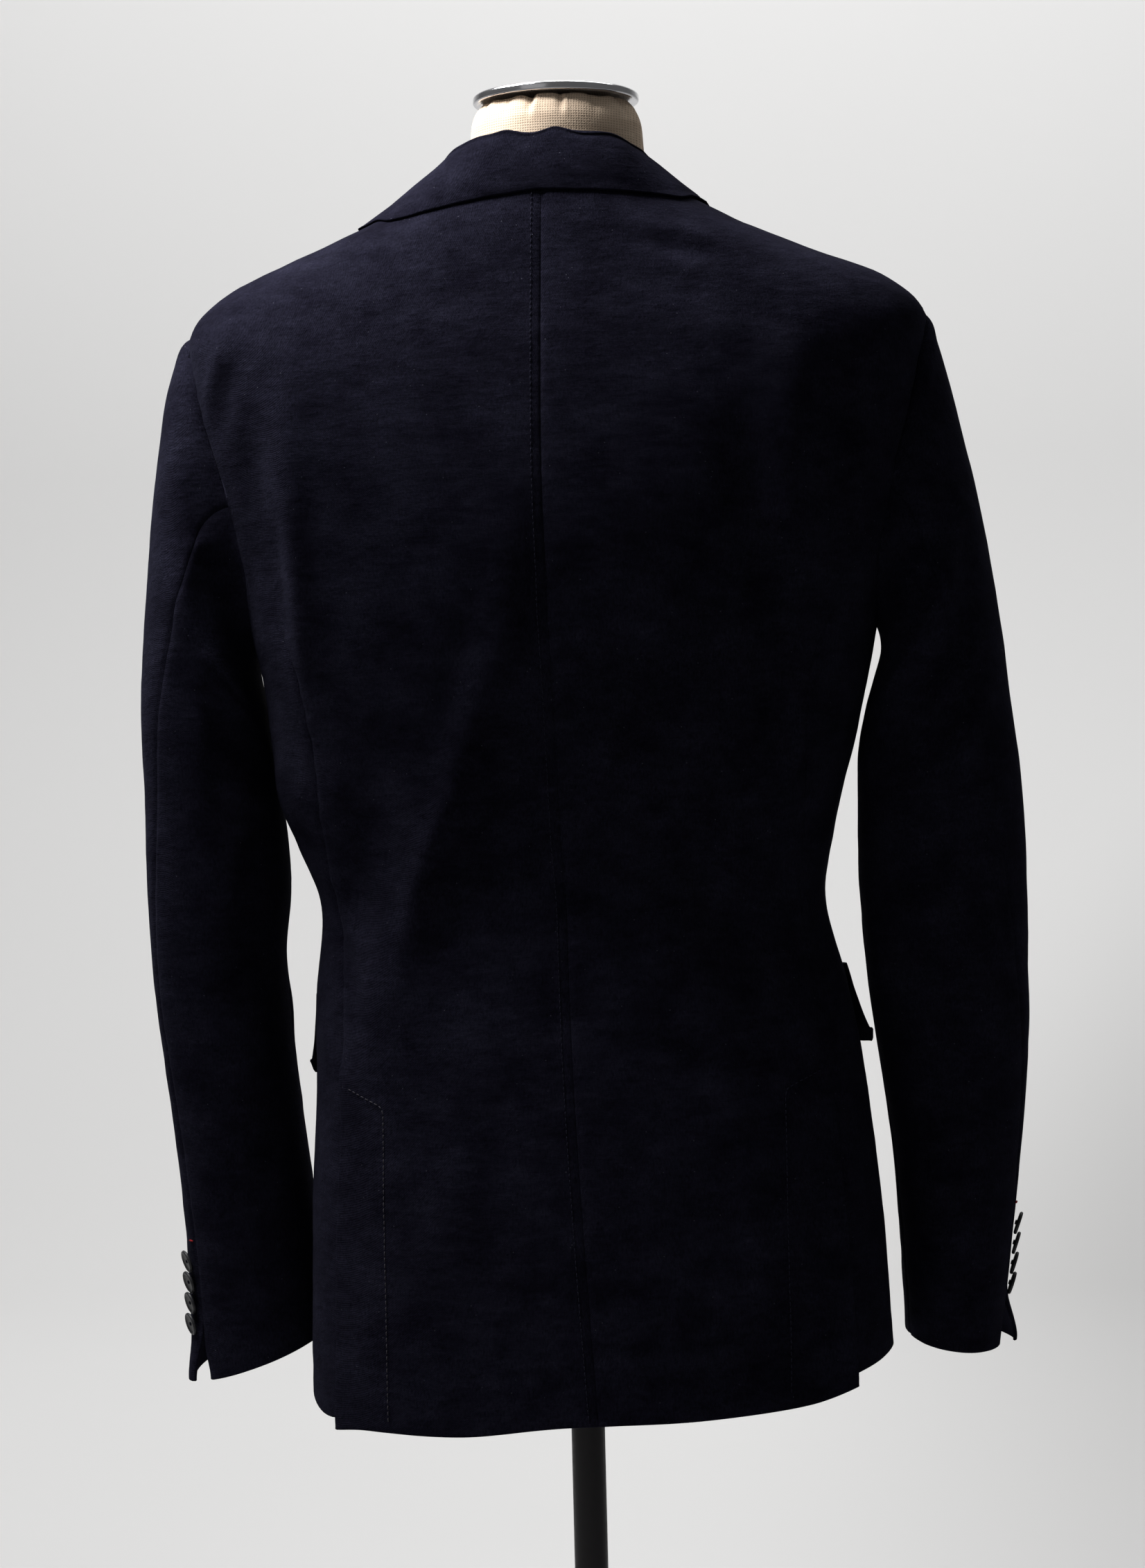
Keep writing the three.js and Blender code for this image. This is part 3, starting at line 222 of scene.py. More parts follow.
# The large folds: face, first end, second end, height of the ridge, half its width
BODY_FOLDS = [
    (1, (28, 560), (80, 350), 3.0, 24),
    (1, (76, 365), (130, 200), 4.5, 20),
    (1, (104, 400), (140, 290), -3.0, 20),
    (1, (164, 615), (156, 440), 4.0, 14),
    (1, (188, 595), (184, 500), -4.5, 15),
    (1, (-145, 640), (-150, 500), 4.0, 15),
    (1, (-112, 585), (-122, 430), -4.5, 20),
    (1, (-70, 350), (-118, 235), -3.5, 16),
    (1, (-96, 360), (-146, 225), 3.5, 16),
    (1, (-60, 300), (70, 312), -2.5, 26),
] + [
    (-1, (side * x1, h1), (side * x2, h2), depth, width)
    for (x1, h1), (x2, h2), depth, width in (
        ((20, 318), (130, 350), 3.5, 18),
        ((30, 285), (140, 265), -3.5, 18),
        ((160, 570), (158, 470), -4.0, 16),
    )
    for side in (1, -1)
]

# The finer creases: face, height of the ridge, half its width, and the points it runs through
BODY_CREASES = [
    (1, 2.4, 6, [(196, 675), (205, 642), (213, 626), (216, 606)]),
    (1, -2.8, 7, [(198, 642), (205, 612), (208, 590)]),
    (1, 3.0, 6, [(160, 572), (155, 530), (154, 498), (152, 440)]),
    (1, -2.6, 8, [(173, 562), (170, 500), (166, 450)]),
    (1, 2.8, 11, [(24, 575), (22, 520), (28, 466), (53, 407), (85, 312), (105, 235)]),
    (1, -2.2, 10, [(44, 545), (50, 480), (76, 400), (104, 320)]),
    (1, 2.2, 7, [(57, 385), (80, 344), (101, 269)]),
    (1, -2.2, 8, [(38, 372), (62, 320), (88, 262)]),
    (1, -3.4, 12, [(-118, 590), (-126, 520), (-134, 440), (-140, 376)]),
    (1, 2.0, 9, [(-98, 575), (-108, 500), (-116, 420)]),
    (1, -2.8, 9, [(-72, 345), (-96, 305), (-118, 270), (-131, 236)]),
    (1, 2.0, 9, [(-84, 362), (-116, 318), (-142, 276)]),
    (1, 2.0, 7, [(-46, 718), (-78, 712), (-108, 705)]),
    (1, -1.8, 6, [(-44, 709), (-76, 702), (-104, 694)]),
    (1, 1.6, 7, [(-48, 702), (-74, 690), (-96, 678)]),
    (1, -1.4, 7, [(-50, 690), (-78, 676), (-100, 664)]),
    (1, 2.0, 6, [(150, 330), (138, 300), (124, 262)]),
    (1, -1.8, 7, [(146, 300), (134, 262), (122, 226)]),
    (1, 2.0, 5, [(157, 236), (148, 214), (138, 198)]),
    (1, -1.6, 5, [(150, 240), (143, 220), (135, 204)]),
    (1, 2.0, 8, [(168, 406), (182, 388), (184, 372)]),
    (1, -1.6, 6, [(176, 352), (166, 346), (152, 340)]),
    (1, 1.6, 6, [(172, 332), (156, 326), (136, 318)]),
    (1, -1.5, 10, [(28, 240), (44, 150), (52, 60)]),
    (1, 1.5, 12, [(64, 200), (78, 100), (84, 10)]),
    (1, -1.5, 12, [(-60, 200), (-78, 100), (-84, 20)]),
    (1, 1.5, 12, [(-96, 190), (-112, 100), (-116, 20)]),
    (1, 1.4, 8, [(-30, 250), (-84, 222), (-140, 214)]),
    (1, -1.4, 8, [(-24, 236), (-84, 206), (-150, 196)]),
]
# The front's creases, the same at both sides: height of the ridge, half its width, points
FRONT_CREASES = [
    (-1.2, 8, [(24, 328), (70, 350), (116, 380)]),
    (1.2, 8, [(20, 300), (70, 290), (120, 284)]),
    (1.4, 9, [(176, 600), (172, 540), (164, 480)]),
]
BODY_CREASES += [
    (-1, depth, width, [(side * x, height) for x, height in points])
    for depth, width, points in FRONT_CREASES for side in (1, -1)
]


def straight_folds(folds, face, x, height):
    """How far the large folds lift the cloth. face is from -1, the front, to 1, the back."""
    lift = np.zeros_like(x)
    for side, (x1, h1), (x2, h2), depth, width in folds:
        dx, dh = x2 - x1, h2 - h1
        long = math.hypot(dx, dh)
        along = ((x - x1) * dx + (height - h1) * dh) / long**2
        off = ((x - x1) * dh - (height - h1) * dx) / long
        taper = smooth(-0.25, 0.25, along) * smooth(1.25, 0.75, along)
        lift += np.where(side * face > 0, depth * taper * bell(off, width), 0)
    return lift * smooth(0.05, 0.4, np.abs(face))


def creases(lines, face, x, height):
    """The same for creases through several points, each fading out at its ends."""
    lift = np.zeros_like(x)
    for side, depth, width, points in lines:
        points = np.asarray(points, float)
        lengths = np.hypot(*np.diff(points, axis=0).T)
        total, done = lengths.sum(), 0.0
        nearest = np.full(x.shape, 1e9)
        place_along = np.zeros_like(x)
        for (x1, h1), (x2, h2), long in zip(points[:-1], points[1:], lengths):
            t = np.clip(((x - x1) * (x2 - x1) + (height - h1) * (h2 - h1)) / long**2, 0, 1)
            far = np.hypot(x - x1 - t * (x2 - x1), height - h1 - t * (h2 - h1))
            closer = far < nearest
            nearest = np.where(closer, far, nearest)
            place_along = np.where(closer, done + t * long, place_along)
            done += long
        taper = np.sin(np.pi * np.clip(place_along / total, 0.02, 0.98)) ** 0.8
        lift += np.where(side * face > 0, depth * taper * bell(nearest, width), 0)
    return lift * smooth(0.05, 0.35, np.abs(face))


def value_noise(points, size, seed):
    """Smooth noise from -1 to 1 with features about size millimetres wide."""
    p = np.asarray(points, float) / size + seed * 17.3
    cell = np.floor(p).astype(np.int64)
    f = p - cell
    f = f * f * (3 - 2 * f)
    total = 0.0
    for corner in range(8):
        step = np.array([corner & 1, corner >> 1 & 1, corner >> 2 & 1])
        q = cell + step
        key = (q[..., 0] * 73856093) ^ (q[..., 1] * 19349663) ^ (q[..., 2] * 83492791) ^ (seed * 2654435)
        key = (key ^ (key >> 13)) * 1274126177 & 0x7FFFFFFF
        weight = np.prod(np.where(step == 1, f, 1 - f), axis=-1)
        total = total + weight * ((key ^ (key >> 16)) % 100003 / 50001.5 - 1)
    return total


def rumple(points):
    """The cloth's own small unevenness, in millimetres."""
    stretched = np.asarray(points) * (1.0, 1.0, 0.7)
    return (
        0.75 * value_noise(stretched, 46, 1)
        + 0.45 * value_noise(stretched, 21, 2)
        + 0.22 * value_noise(points, 9.5, 3)
    )


# The body's surface
def power(base, exponent):
    return np.sign(base) * np.abs(base) ** exponent


def half_width(x, level):
    """How far a ring reaches to the side that x is on."""
    return np.where(x >= 0, BODY_RINGS["left"](level), BODY_RINGS["right"](level))


def body_shape(deg, level):
    """A point of the body without folds. deg 0 is the left side, 90 centre back, 180 the right side."""
    deg, level = np.broadcast_arrays(np.asarray(deg, float), np.asarray(level, float))
    c, s = np.cos(np.radians(deg)), np.sin(np.radians(deg))
    p = 2 / BODY_RINGS["square"](level)
    across = np.abs(c) ** p
    end = np.where(s >= 0, level, BODY_RINGS["front"](level))
    reach = half_width(c, level)
    depth = np.where(s >= 0, BODY_RINGS["back"](level), BODY_RINGS["chest"](level))
    return np.stack(
        [power(c, p) * reach, power(s, p) * depth, end + (BODY_RINGS["side"](level) - end) * across**2],
        axis=-1,
    )


def unit(v):
    return v / np.maximum(np.linalg.norm(v, axis=-1, keepdims=True), 1e-9)


def outward(surface, u, v, step_u, step_v):
    du = surface(u + step_u, v) - surface(u - step_u, v)
    dv = surface(u, v + step_v) - surface(u, v - step_v)
    return unit(np.cross(du, dv))


def body_point(deg, level):
    deg, level = np.broadcast_arrays(np.asarray(deg, float), np.asarray(level, float))
    p = body_shape(deg, level)
    face = np.sin(np.radians(deg))
    lift = straight_folds(BODY_FOLDS, face, p[..., 0], p[..., 2])
    lift = lift + creases(BODY_CREASES, face, p[..., 0], p[..., 2]) + rumple(p)
    return p + outward(body_shape, deg, level, 0.6, 2) * lift[..., None]


def body_out(deg, level):
    return outward(body_point, deg, level, 0.6, 2)


def angle_at(x, level, face):
    """The angle at which a ring crosses a distance from the axis, on the back or on the front."""
    x, level = np.broadcast_arrays(np.asarray(x, float), np.asarray(level, float))
    share = np.minimum(1, np.abs(x) / half_width(x, level))
    turn = np.degrees(np.arccos(share ** (BODY_RINGS["square"](level) / 2)))
    return np.where(x >= 0, turn, 180 - turn) * (1 if face > 0 else -1)


def level_at(x, height, face):
    """The ring that has a height at a distance from the axis."""
    x, height = np.broadcast_arrays(np.asarray(x, float), np.asarray(height, float))
    low, high = bisected(
        np.full(x.shape, LOWEST_LEVEL), np.full(x.shape, HIGHEST_LEVEL),
        lambda level: body_shape(angle_at(x, level, face), level)[..., 2] < height,
    )
    return (low + high) / 2


def on_face(x, height, face, lift):
    """Points on the back or front as seen from there, lifted off the cloth, with its outward direction."""
    level = level_at(x, height, face)
    deg = angle_at(x, level, face)
    out = body_out(deg, level)
    return body_point(deg, level) + out * lift[..., None], out


def armhole_deg(turn, backward):
    width = ARMHOLE_BACK_DEG if backward else ARMHOLE_FRONT_DEG
    return width * np.abs(np.sin(turn)) * (1 - 0.25 * np.cos(turn))


def armhole_turn(level):
    share = np.clip((level - ARMPIT_LEVEL) / (SHOULDER_LEVEL - ARMPIT_LEVEL), 0, 1)
    return np.arccos(2 * share - 1)


def armhole_level(turn):
    return ARMPIT_LEVEL + (SHOULDER_LEVEL - ARMPIT_LEVEL) * (1 + np.cos(turn)) / 2


def from_side(side, deg):
    return deg if side > 0 else 180 - deg


def armhole_floor(local):
    """The level of the armhole's lower edge at an angle from the side."""
    local = np.asarray(local, float)

    def inside(turn):
        return np.where(local >= 0, armhole_deg(turn, True), armhole_deg(turn, False)) > np.abs(local)

    low, _ = bisected(np.full(local.shape, math.pi / 2), np.full(local.shape, math.pi), inside, 30)
    return armhole_level(low)


FRONT_SEAM_TOP = float(armhole_floor(FRONT_SEAM_DEG))


def side_edge(level, side, backward):
    """The angle of a panel's edge at the side: its seam, then the armhole, then the shoulder seam."""
    level = np.asarray(level, float)
    if backward:
        reach = BACK_SEAMS["left" if side > 0 else "right"](level)
        seam = from_side(side, angle_at(side * reach, level, 1))
        top = SIDE_SEAM_TOP
    else:
        seam, top = np.full(level.shape, FRONT_SEAM_DEG), FRONT_SEAM_TOP
    armhole = (1 if backward else -1) * armhole_deg(armhole_turn(level), backward)
    return np.where(level <= top, seam, np.where(level >= SHOULDER_LEVEL, 0, armhole))


# Meshes
def new_object(name, points, faces, material):
    mesh = bpy.data.meshes.new(name)
    mesh.from_pydata([tuple(p) for p in place(points)], [], [tuple(int(i) for i in f) for f in faces])
    mesh.materials.append(material)
    mesh.validate()
    mesh.polygons.foreach_set("use_smooth", [True] * len(mesh.polygons))
    mesh.update()
    obj = bpy.data.objects.new(name, mesh)
    scene.collection.objects.link(obj)
    return obj


def grid_faces(rows, cols, first=0, flip=False):
    i, j = np.meshgrid(np.arange(rows - 1), np.arange(cols - 1), indexing="ij")
    a = first + (i * cols + j).ravel()
    quads = np.stack([a, a + 1, a + cols + 1, a + cols], -1)
    return quads[:, ::-1] if flip else quads


def ring_faces(rings, around):
    """Faces between closed rings of points, and fans to the two end points that follow them."""
    faces = []
    for j in range(around):
        k = (j + 1) % around
        for i in range(rings - 1):
            low, high = i * around, (i + 1) * around
            faces.append((low + j, low + k, high + k, high + j))
        faces.append((rings * around, k, j))
        faces.append((rings * around + 1, (rings - 1) * around + j, (rings - 1) * around + k))
    return faces


def signed_volume(points, faces):
    p = points[faces]
    a = np.einsum("ij,ij->i", p[:, 0], np.cross(p[:, 1], p[:, 2]))
    b = np.einsum("ij,ij->i", p[:, 0], np.cross(p[:, 2], p[:, 3]))
    return (a + b).sum()


def shell(name, outer, out, material, thick):
    """A closed thin wall with a rounded rim: outer is a grid of points and out its outward directions."""
    rows, cols = outer.shape[:2]
    inner = outer - out * thick
    middle = outer - out * thick / 2
    points = np.concatenate([outer.reshape(-1, 3), inner.reshape(-1, 3)])
    faces = [grid_faces(rows, cols), grid_faces(rows, cols, rows * cols, flip=True)]
    border = (
        [(0, j) for j in range(cols)]
        + [(i, cols - 1) for i in range(1, rows)]
        + [(rows - 1, j) for j in range(cols - 2, -1, -1)]
        + [(i, 0) for i in range(rows - 2, 0, -1)]
    )
    i, j = np.array(border).T
    edge_inward = np.stack([np.clip(i, 1, rows - 2), np.clip(j, 1, cols - 2)])
    away = unit(outer[i, j] - outer[edge_inward[0], edge_inward[1]])
    bulge = middle[i, j] + away * (thick * 0.3)
    first = len(points)
    points = np.concatenate([points, bulge])
    n = len(border)
    a = i * cols + j
    b = np.roll(a, -1)
    m = first + np.arange(n)
    m2 = np.roll(m, -1)
    faces.append(np.stack([b, a, m, m2], -1))
    faces.append(np.stack([m2, m, a + rows * cols, b + rows * cols], -1))
    faces = np.concatenate(faces)
    if signed_volume(points, faces) < 0:
        faces = faces[:, ::-1]
    return new_object(name, points, faces, material)


def normals_of(grid):
    """Directions across a grid of points, from its own rows and columns."""
    du = np.gradient(grid, axis=0)
    dv = np.gradient(grid, axis=1)
    return unit(np.cross(du, dv))


def facing(out, away):
    """Turns directions round so that they point the same way as away."""
    flip = np.sum(out * away, axis=-1, keepdims=True) < 0
    return np.where(flip, -out, out)


def finished(obj, *nodes, slot="cloth"):
    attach(obj, BODY)
    if nodes:
        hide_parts(*nodes)
    return obj


def cloth_piece(name, grid, out, *nodes, rests_on=("dress_form",), held="draped", thick=CLOTH):
    obj = shell(name, grid, out, CLOTH_MATERIAL, thick)
    finished(obj, *nodes)
    return obj


EDGE_STEPS = (0.0, 0.7, 1.6, 3.0, 5.0)


def shares(length, spacing=4.0, ends=(True, True)):
    """Places from 0 to 1 along a length in millimetres, closer together at the ends that show."""
    near = np.array(EDGE_STEPS)
    start = near if ends[0] else near[:1]
    end = near if ends[1] else near[:1]
    low, high = start[-1], length - end[-1]
    count = max(2, int(round((high - low) / spacing)) + 1)
    inner = np.linspace(low, high, count)
    return np.concatenate([start[:-1], inner, length - end[-2::-1]]) / length


def seam_dip(distance):
    """How deep a seam draws the cloth in."""
    return 0.9 * bell(distance, 2.2)


def stitched_dip(distance, inside=5.0, depth=0.3):
    """How deep a row of stitches beside an edge draws it in."""
    return depth * bell(distance - inside, 1.3)


def edge_distances(grid):
    """How far each point of a grid is from its first and last column, along its row."""
    steps = np.linalg.norm(np.diff(grid, axis=1), axis=-1)
    from_first = np.concatenate([np.zeros((len(grid), 1)), np.cumsum(steps, axis=1)], axis=1)
    return from_first, from_first[:, -1:] - from_first


# Materials
def new_material(name):
    material = bpy.data.materials.new(name)
    material.use_nodes = True
    return material, material.node_tree, material.node_tree.nodes["Principled BSDF"]


def put(node, values):
    """Sets a node's inputs by their names."""
    for name, value in values.items():
        node.inputs[name].default_value = value


def link(tree, a, out, b, into):
    tree.links.new(a.outputs[out], b.inputs[into])


def texture(tree, kind, scale, stretch=(1, 1, 1), **inputs):
    coords = tree.nodes.get("coords") or tree.nodes.new("ShaderNodeTexCoord")
    coords.name = "coords"
    mapping = tree.nodes.new("ShaderNodeMapping")
    put(mapping, {"Scale": stretch})
    link(tree, coords, "Object", mapping, "Vector")
    node = tree.nodes.new("ShaderNodeTex" + kind)
    put(node, {"Scale": scale} | {key.title(): value for key, value in inputs.items()})
    link(tree, mapping, "Vector", node, "Vector")
    return node


def ramp(tree, source, out, stops):
    """Colours between stops, each a place from 0 to 1 with a grey or a colour."""
    stops = [(at, (tone,) * 3 + (1,) if np.isscalar(tone) else (*tone, 1)) for at, tone in stops]
    node = tree.nodes.new("ShaderNodeValToRGB")
    node.color_ramp.elements[0].position, node.color_ramp.elements[0].color = stops[0]
    node.color_ramp.elements[1].position, node.color_ramp.elements[1].color = stops[-1]
    for position, colour in stops[1:-1]:
        node.color_ramp.elements.new(position).color = colour
    link(tree, source, out, node, "Fac")
    return node


def mix(tree, kind, a, b, b_out="Color"):
    node = tree.nodes.new("ShaderNodeMixRGB")
    node.blend_type = kind
    put(node, {"Fac": 1.0})
    link(tree, a, "Color", node, "Color1")
    link(tree, b, b_out, node, "Color2")
    return node


def bump(tree, shader, layers):
    """layers: (texture, output, strength, distance in metres)."""
    last = None
    for source, out, strength, distance in layers:
        node = tree.nodes.new("ShaderNodeBump")
        put(node, {"Strength": strength, "Distance": distance})
        link(tree, source, out, node, "Height")
        if last:
            link(tree, last, "Normal", node, "Normal")
        last = node
    link(tree, last, "Normal", shader, "Normal")


CLOTH_LIT = (0.0092, 0.0090, 0.0158)
CLOTH_SHADE = (0.0034, 0.0031, 0.0062)
LINT_COLOUR = (0.05, 0.05, 0.065, 1)


def napped_cotton():
    """A dark cotton with a short nap: blotches where the nap lies differently, a fine twill and specks."""
    material, tree, shader = new_material("napped_cotton")
    blotch = texture(tree, "Noise", 34, detail=8.0, roughness=0.7, stretch=(0.8, 0.8, 1))
    colours = ramp(tree, blotch, "Fac", [(0.34, CLOTH_SHADE), (0.68, CLOTH_LIT)])
    nap = texture(tree, "Noise", 900, detail=3.0, roughness=0.7, stretch=(1, 1, 0.4))
    grain = ramp(tree, nap, "Fac", [(0.3, 0.5), (0.72, 1.5)])
    coloured = mix(tree, "MULTIPLY", colours, grain)
    crepe = texture(tree, "Noise", 110, detail=5.0, roughness=0.65, stretch=(0.45, 0.45, 1.5))
    # painted shade and highlight: the crepe noise that makes the bump also darkens the colour in its small
    # hollows and lightens it on its ridges
    crepe_painted_light = ramp(tree, crepe, "Fac", [(0.36, 0.86), (0.66, 1.16)])
    coloured = mix(tree, "MULTIPLY", coloured, crepe_painted_light)
    lint = texture(tree, "Voronoi", 125)
    spots = ramp(tree, lint, "Distance", [(0.028, 1.0), (0.05, 0.0)])
    specked = tree.nodes.new("ShaderNodeMixRGB")
    link(tree, spots, "Color", specked, "Fac")
    link(tree, coloured, "Color", specked, "Color1")
    put(specked, {"Color2": LINT_COLOUR})
    link(tree, specked, "Color", shader, "Base Color")
    twill = texture(tree, "Wave", 620, distortion=1.2, detail=1.0, stretch=(1, 1, 0.8))
    twill.bands_direction = "DIAGONAL"
    rough = ramp(tree, blotch, "Fac", [(0.3, 0.86), (0.7, 0.97)])
    link(tree, rough, "Color", shader, "Roughness")
    put(shader, {
        "Specular IOR Level": 0.004, "Sheen Weight": 0.016, "Sheen Roughness": 0.55,
        "Sheen Tint": (0.46, 0.47, 0.74, 1),
    })
    bump(tree, shader, [
        (twill, "Fac", 0.25, 0.0004), (nap, "Fac", 0.4, 0.0006), (crepe, "Fac", 0.5, 0.0022),
        (blotch, "Fac", 0.3, 0.004),
    ])
    return material


CLOTH_MATERIAL = napped_cotton()


def plain_material(name, colour, roughness, metallic=0.0, scale=300, contrast=0.12, bumps=0.0, gloss=0.5):
    material, tree, shader = new_material(name)
    cloud = texture(tree, "Noise", scale, detail=4.0)
    low = tuple(c * (1 - contrast) for c in colour)
    high = tuple(min(1, c * (1 + contrast)) for c in colour)
    tone = ramp(tree, cloud, "Fac", [(0.3, low), (0.7, high)])
    link(tree, tone, "Color", shader, "Base Color")
    rough = ramp(tree, cloud, "Fac", [(0.3, roughness * 0.85), (0.7, min(1, roughness * 1.15))])
    link(tree, rough, "Color", shader, "Roughness")
    put(shader, {"Metallic": metallic, "Specular IOR Level": gloss})
    if bumps:
        bump(tree, shader, [(cloud, "Fac", bumps, 0.0004)])
    return material


def linen_material():
    material, tree, shader = new_material("linen")
    warp, weft = (texture(tree, "Wave", 200, distortion=1.6, detail=2.0) for _ in range(2))
    warp.bands_direction, weft.bands_direction = "X", "Z"
    threads = mix(tree, "LIGHTEN", warp, weft)
    slub = texture(tree, "Noise", 60, detail=6.0, stretch=(0.3, 0.3, 3.0))
    tone = ramp(tree, slub, "Fac", [(0.3, (0.52, 0.395, 0.29)), (0.7, (0.68, 0.54, 0.41))])
    weave = ramp(tree, threads, "Color", [(0.0, 0.68), (1.0, 1.1)])
    coloured = mix(tree, "MULTIPLY", tone, weave)
    link(tree, coloured, "Color", shader, "Base Color")
    put(shader, {"Roughness": 0.9, "Specular IOR Level": 0.08})
    bump(tree, shader, [(threads, "Color", 0.3, 0.0006), (slub, "Fac", 0.2, 0.001)])
    return material


LINEN = linen_material()
CHROME = plain_material("chrome", (0.62, 0.62, 0.64), 0.16, 1.0, 40, 0.06)
BLACK_STEEL = plain_material("black_steel", (0.010, 0.009, 0.010), 0.5, 0.3, 220, 0.2, 0.05, 0.25)
HORN = plain_material("button_horn", (0.016, 0.016, 0.018), 0.45, 0.0, 160, 0.35, 0.0, 0.25)
THREAD = plain_material("thread", (0.0125, 0.0125, 0.0205), 0.9, 0.0, 1500, 0.3, 0.3, 0.02)
PALE_THREAD = plain_material("pale_thread", (0.045, 0.042, 0.05), 0.9, 0.0, 1500, 0.3, 0.3, 0.02)
RED_THREAD = plain_material("red_thread", (0.22, 0.012, 0.014), 0.75, 0.0, 1500, 0.3, 0.3, 0.1)


# Body panels
def near_hem(level):
    """1 at the hem, fading to 0 above it."""
    return np.clip(1 - level / HEM_BLEND, 0, 1)


def slanted(level, deg):
    return level + HEM(deg) * near_hem(level)


def lifted(deg, level, lift):
    """Body points with their own relief, moved out by lift, and the directions of the wall."""
    grid = body_point(deg, level)
    out = facing(normals_of(grid), outward(body_shape, deg, level, 0.6, 2))
    grid = grid + out * lift[..., None]
    return grid, facing(normals_of(grid), out)


def pucker(along):
    """The small waves that a row of stitches draws into the cloth, in millimetres."""
    along = np.asarray(along, float)
    row = np.stack([along, 0 * along, 0 * along], -1)
    return 0.5 * value_noise(row, 6.0, 7) + 0.5 * value_noise(row, 13.0, 8)


def back_panel(side, name):
    levels = lerp(0, NECK_LEVEL, shares(NECK_LEVEL))[:, None]
    share = shares(PANEL_WIDTH)[None, :]
    centre = angle_at(BACK_SEAMS["centre"](levels), levels, 1)
    deg = lerp(centre, from_side(side, side_edge(levels, side, True)), share)
    at = slanted(levels, deg)
    base = body_shape(deg, at)
    near_centre, near_side = edge_distances(base)
    vent = smooth(VENT_TOP + 45, VENT_TOP + 10, levels) * smooth(0.45, 0.75, share)
    lift = VENT_LIFT * vent - seam_dip(near_centre) - seam_dip(near_side) * (levels > VENT_TOP + 20)
    if side > 0:
        lift = lift - stitched_dip(near_centre, TOPSTITCH_IN, 0.4)
    lift = lift + pucker(levels) * bell(near_centre, 7.0)
    lift = lift + 0.7 * pucker(levels + 40) * bell(near_side, 6.0)
    grid, out = lifted(deg, at, lift)
    return cloth_piece("panel_back_" + name, grid, out, "back_" + name)


def side_panel(side, name):
    share = shares(SIDE_WIDTH)[None, :]
    low = lerp(0, ARMPIT_LEVEL, shares(ARMPIT_LEVEL, ends=(True, False)))[:-1, None]
    seam = side_edge(low, side, True) + VENT_UNDERLAP_DEG * smooth(VENT_TOP + 10, VENT_TOP - 25, low)
    local_low = lerp(FRONT_SEAM_DEG, seam, share)
    deg_low = from_side(side, local_low)
    up = np.linspace(0, 1, 10)[:, None]
    seam_level = lerp(ARMPIT_LEVEL, SIDE_SEAM_TOP, up)
    local_top = lerp(FRONT_SEAM_DEG, side_edge(seam_level, side, True), share)
    level_top = lerp(ARMPIT_LEVEL, armhole_floor(local_top), up)
    deg = np.concatenate([deg_low, from_side(side, local_top)])
    rise = SIDE_RISE * smooth(FRONT_SEAM_DEG, -8, local_low) * near_hem(low)
    at = np.concatenate([slanted(low, deg_low) + rise, level_top])
    near_front, near_back = edge_distances(body_shape(deg, at))
    lift = -seam_dip(near_front) - seam_dip(near_back) * (at > VENT_TOP + 20)
    grid, out = lifted(deg, at, lift)
    return cloth_piece("panel_side_" + name, grid, out, "side_" + name)


NECK_POINT_LEFT = 80.0
NECK_POINT_RIGHT = 70.0
NECK_POINT_HEIGHT = 745.0


def roll_line(height, side):
    far = NECK_POINT_LEFT if side > 0 else NECK_POINT_RIGHT
    return lerp(-OVERLAP, far, (height - BREAK_HEIGHT) / (NECK_POINT_HEIGHT - BREAK_HEIGHT))


def lapel_width(height):
    up = np.clip((height - BREAK_HEIGHT) / (LAPEL_CORNER - BREAK_HEIGHT), 0, 1)
    return LAPEL_WIDTH * np.sin(np.pi / 2 * up**0.75)


QUARTER = table("height past", [
    (-14, 96), (-6, 76), (8, 56), (30, 36), (70, 18), (130, -2), (LOWER_BUTTON - 25, -OVERLAP + 2),
    (LOWER_BUTTON, -OVERLAP), (BREAK_HEIGHT, -OVERLAP),
])["past"]


def overlap_lift(x):
    return OVERLAP_LIFT * smooth(60, 24, x)


def front_edge(level, side):
    """The angle of a front's free edge, measured from its own side of the body."""
    level = np.asarray(level, float)
    height, local = level.copy(), None
    for _ in range(6):
        past = np.where(height < BREAK_HEIGHT, QUARTER(height), roll_line(height, side))
        deg = angle_at(side * past, level, -1)
        local = -np.abs(deg if side > 0 else 180 + deg)
        height = body_shape(from_side(side, local), level)[..., 2]
    return local


def front_panel(side, name):
    levels = lerp(0, NECK_LEVEL, shares(NECK_LEVEL))[:, None]
    share = shares(PANEL_WIDTH)[None, :]
    local = lerp(side_edge(levels, side, False), front_edge(levels, side), share)
    deg = from_side(side, local)
    at = slanted(levels, deg)
    base = body_shape(deg, at)
    near_side, near_edge = edge_distances(base)
    lift = -seam_dip(near_side) - stitched_dip(near_edge)
    if side > 0:
        lift = lift + overlap_lift(base[..., 0])
    grid, out = lifted(deg, at, lift)
    return cloth_piece("panel_front_" + name, grid, out, "front_" + name)


LAPEL_START = {1: 6.0, -1: 26.0}
LAPEL_TOP = GORGE_TOP - 4
LAPEL_LIFT = CLOTH + 1.2
LAPEL_BELLY = 3.0
LAPEL_ROLL = 2.3
LAPEL_THICK = 1.6


def shown_fold(height, side):
    """Where a lapel's fold shows. The right one stops where it meets the left one."""
    fold = roll_line(height, side)
    return fold if side > 0 else np.maximum(fold, -roll_line(height, 1) + 2)


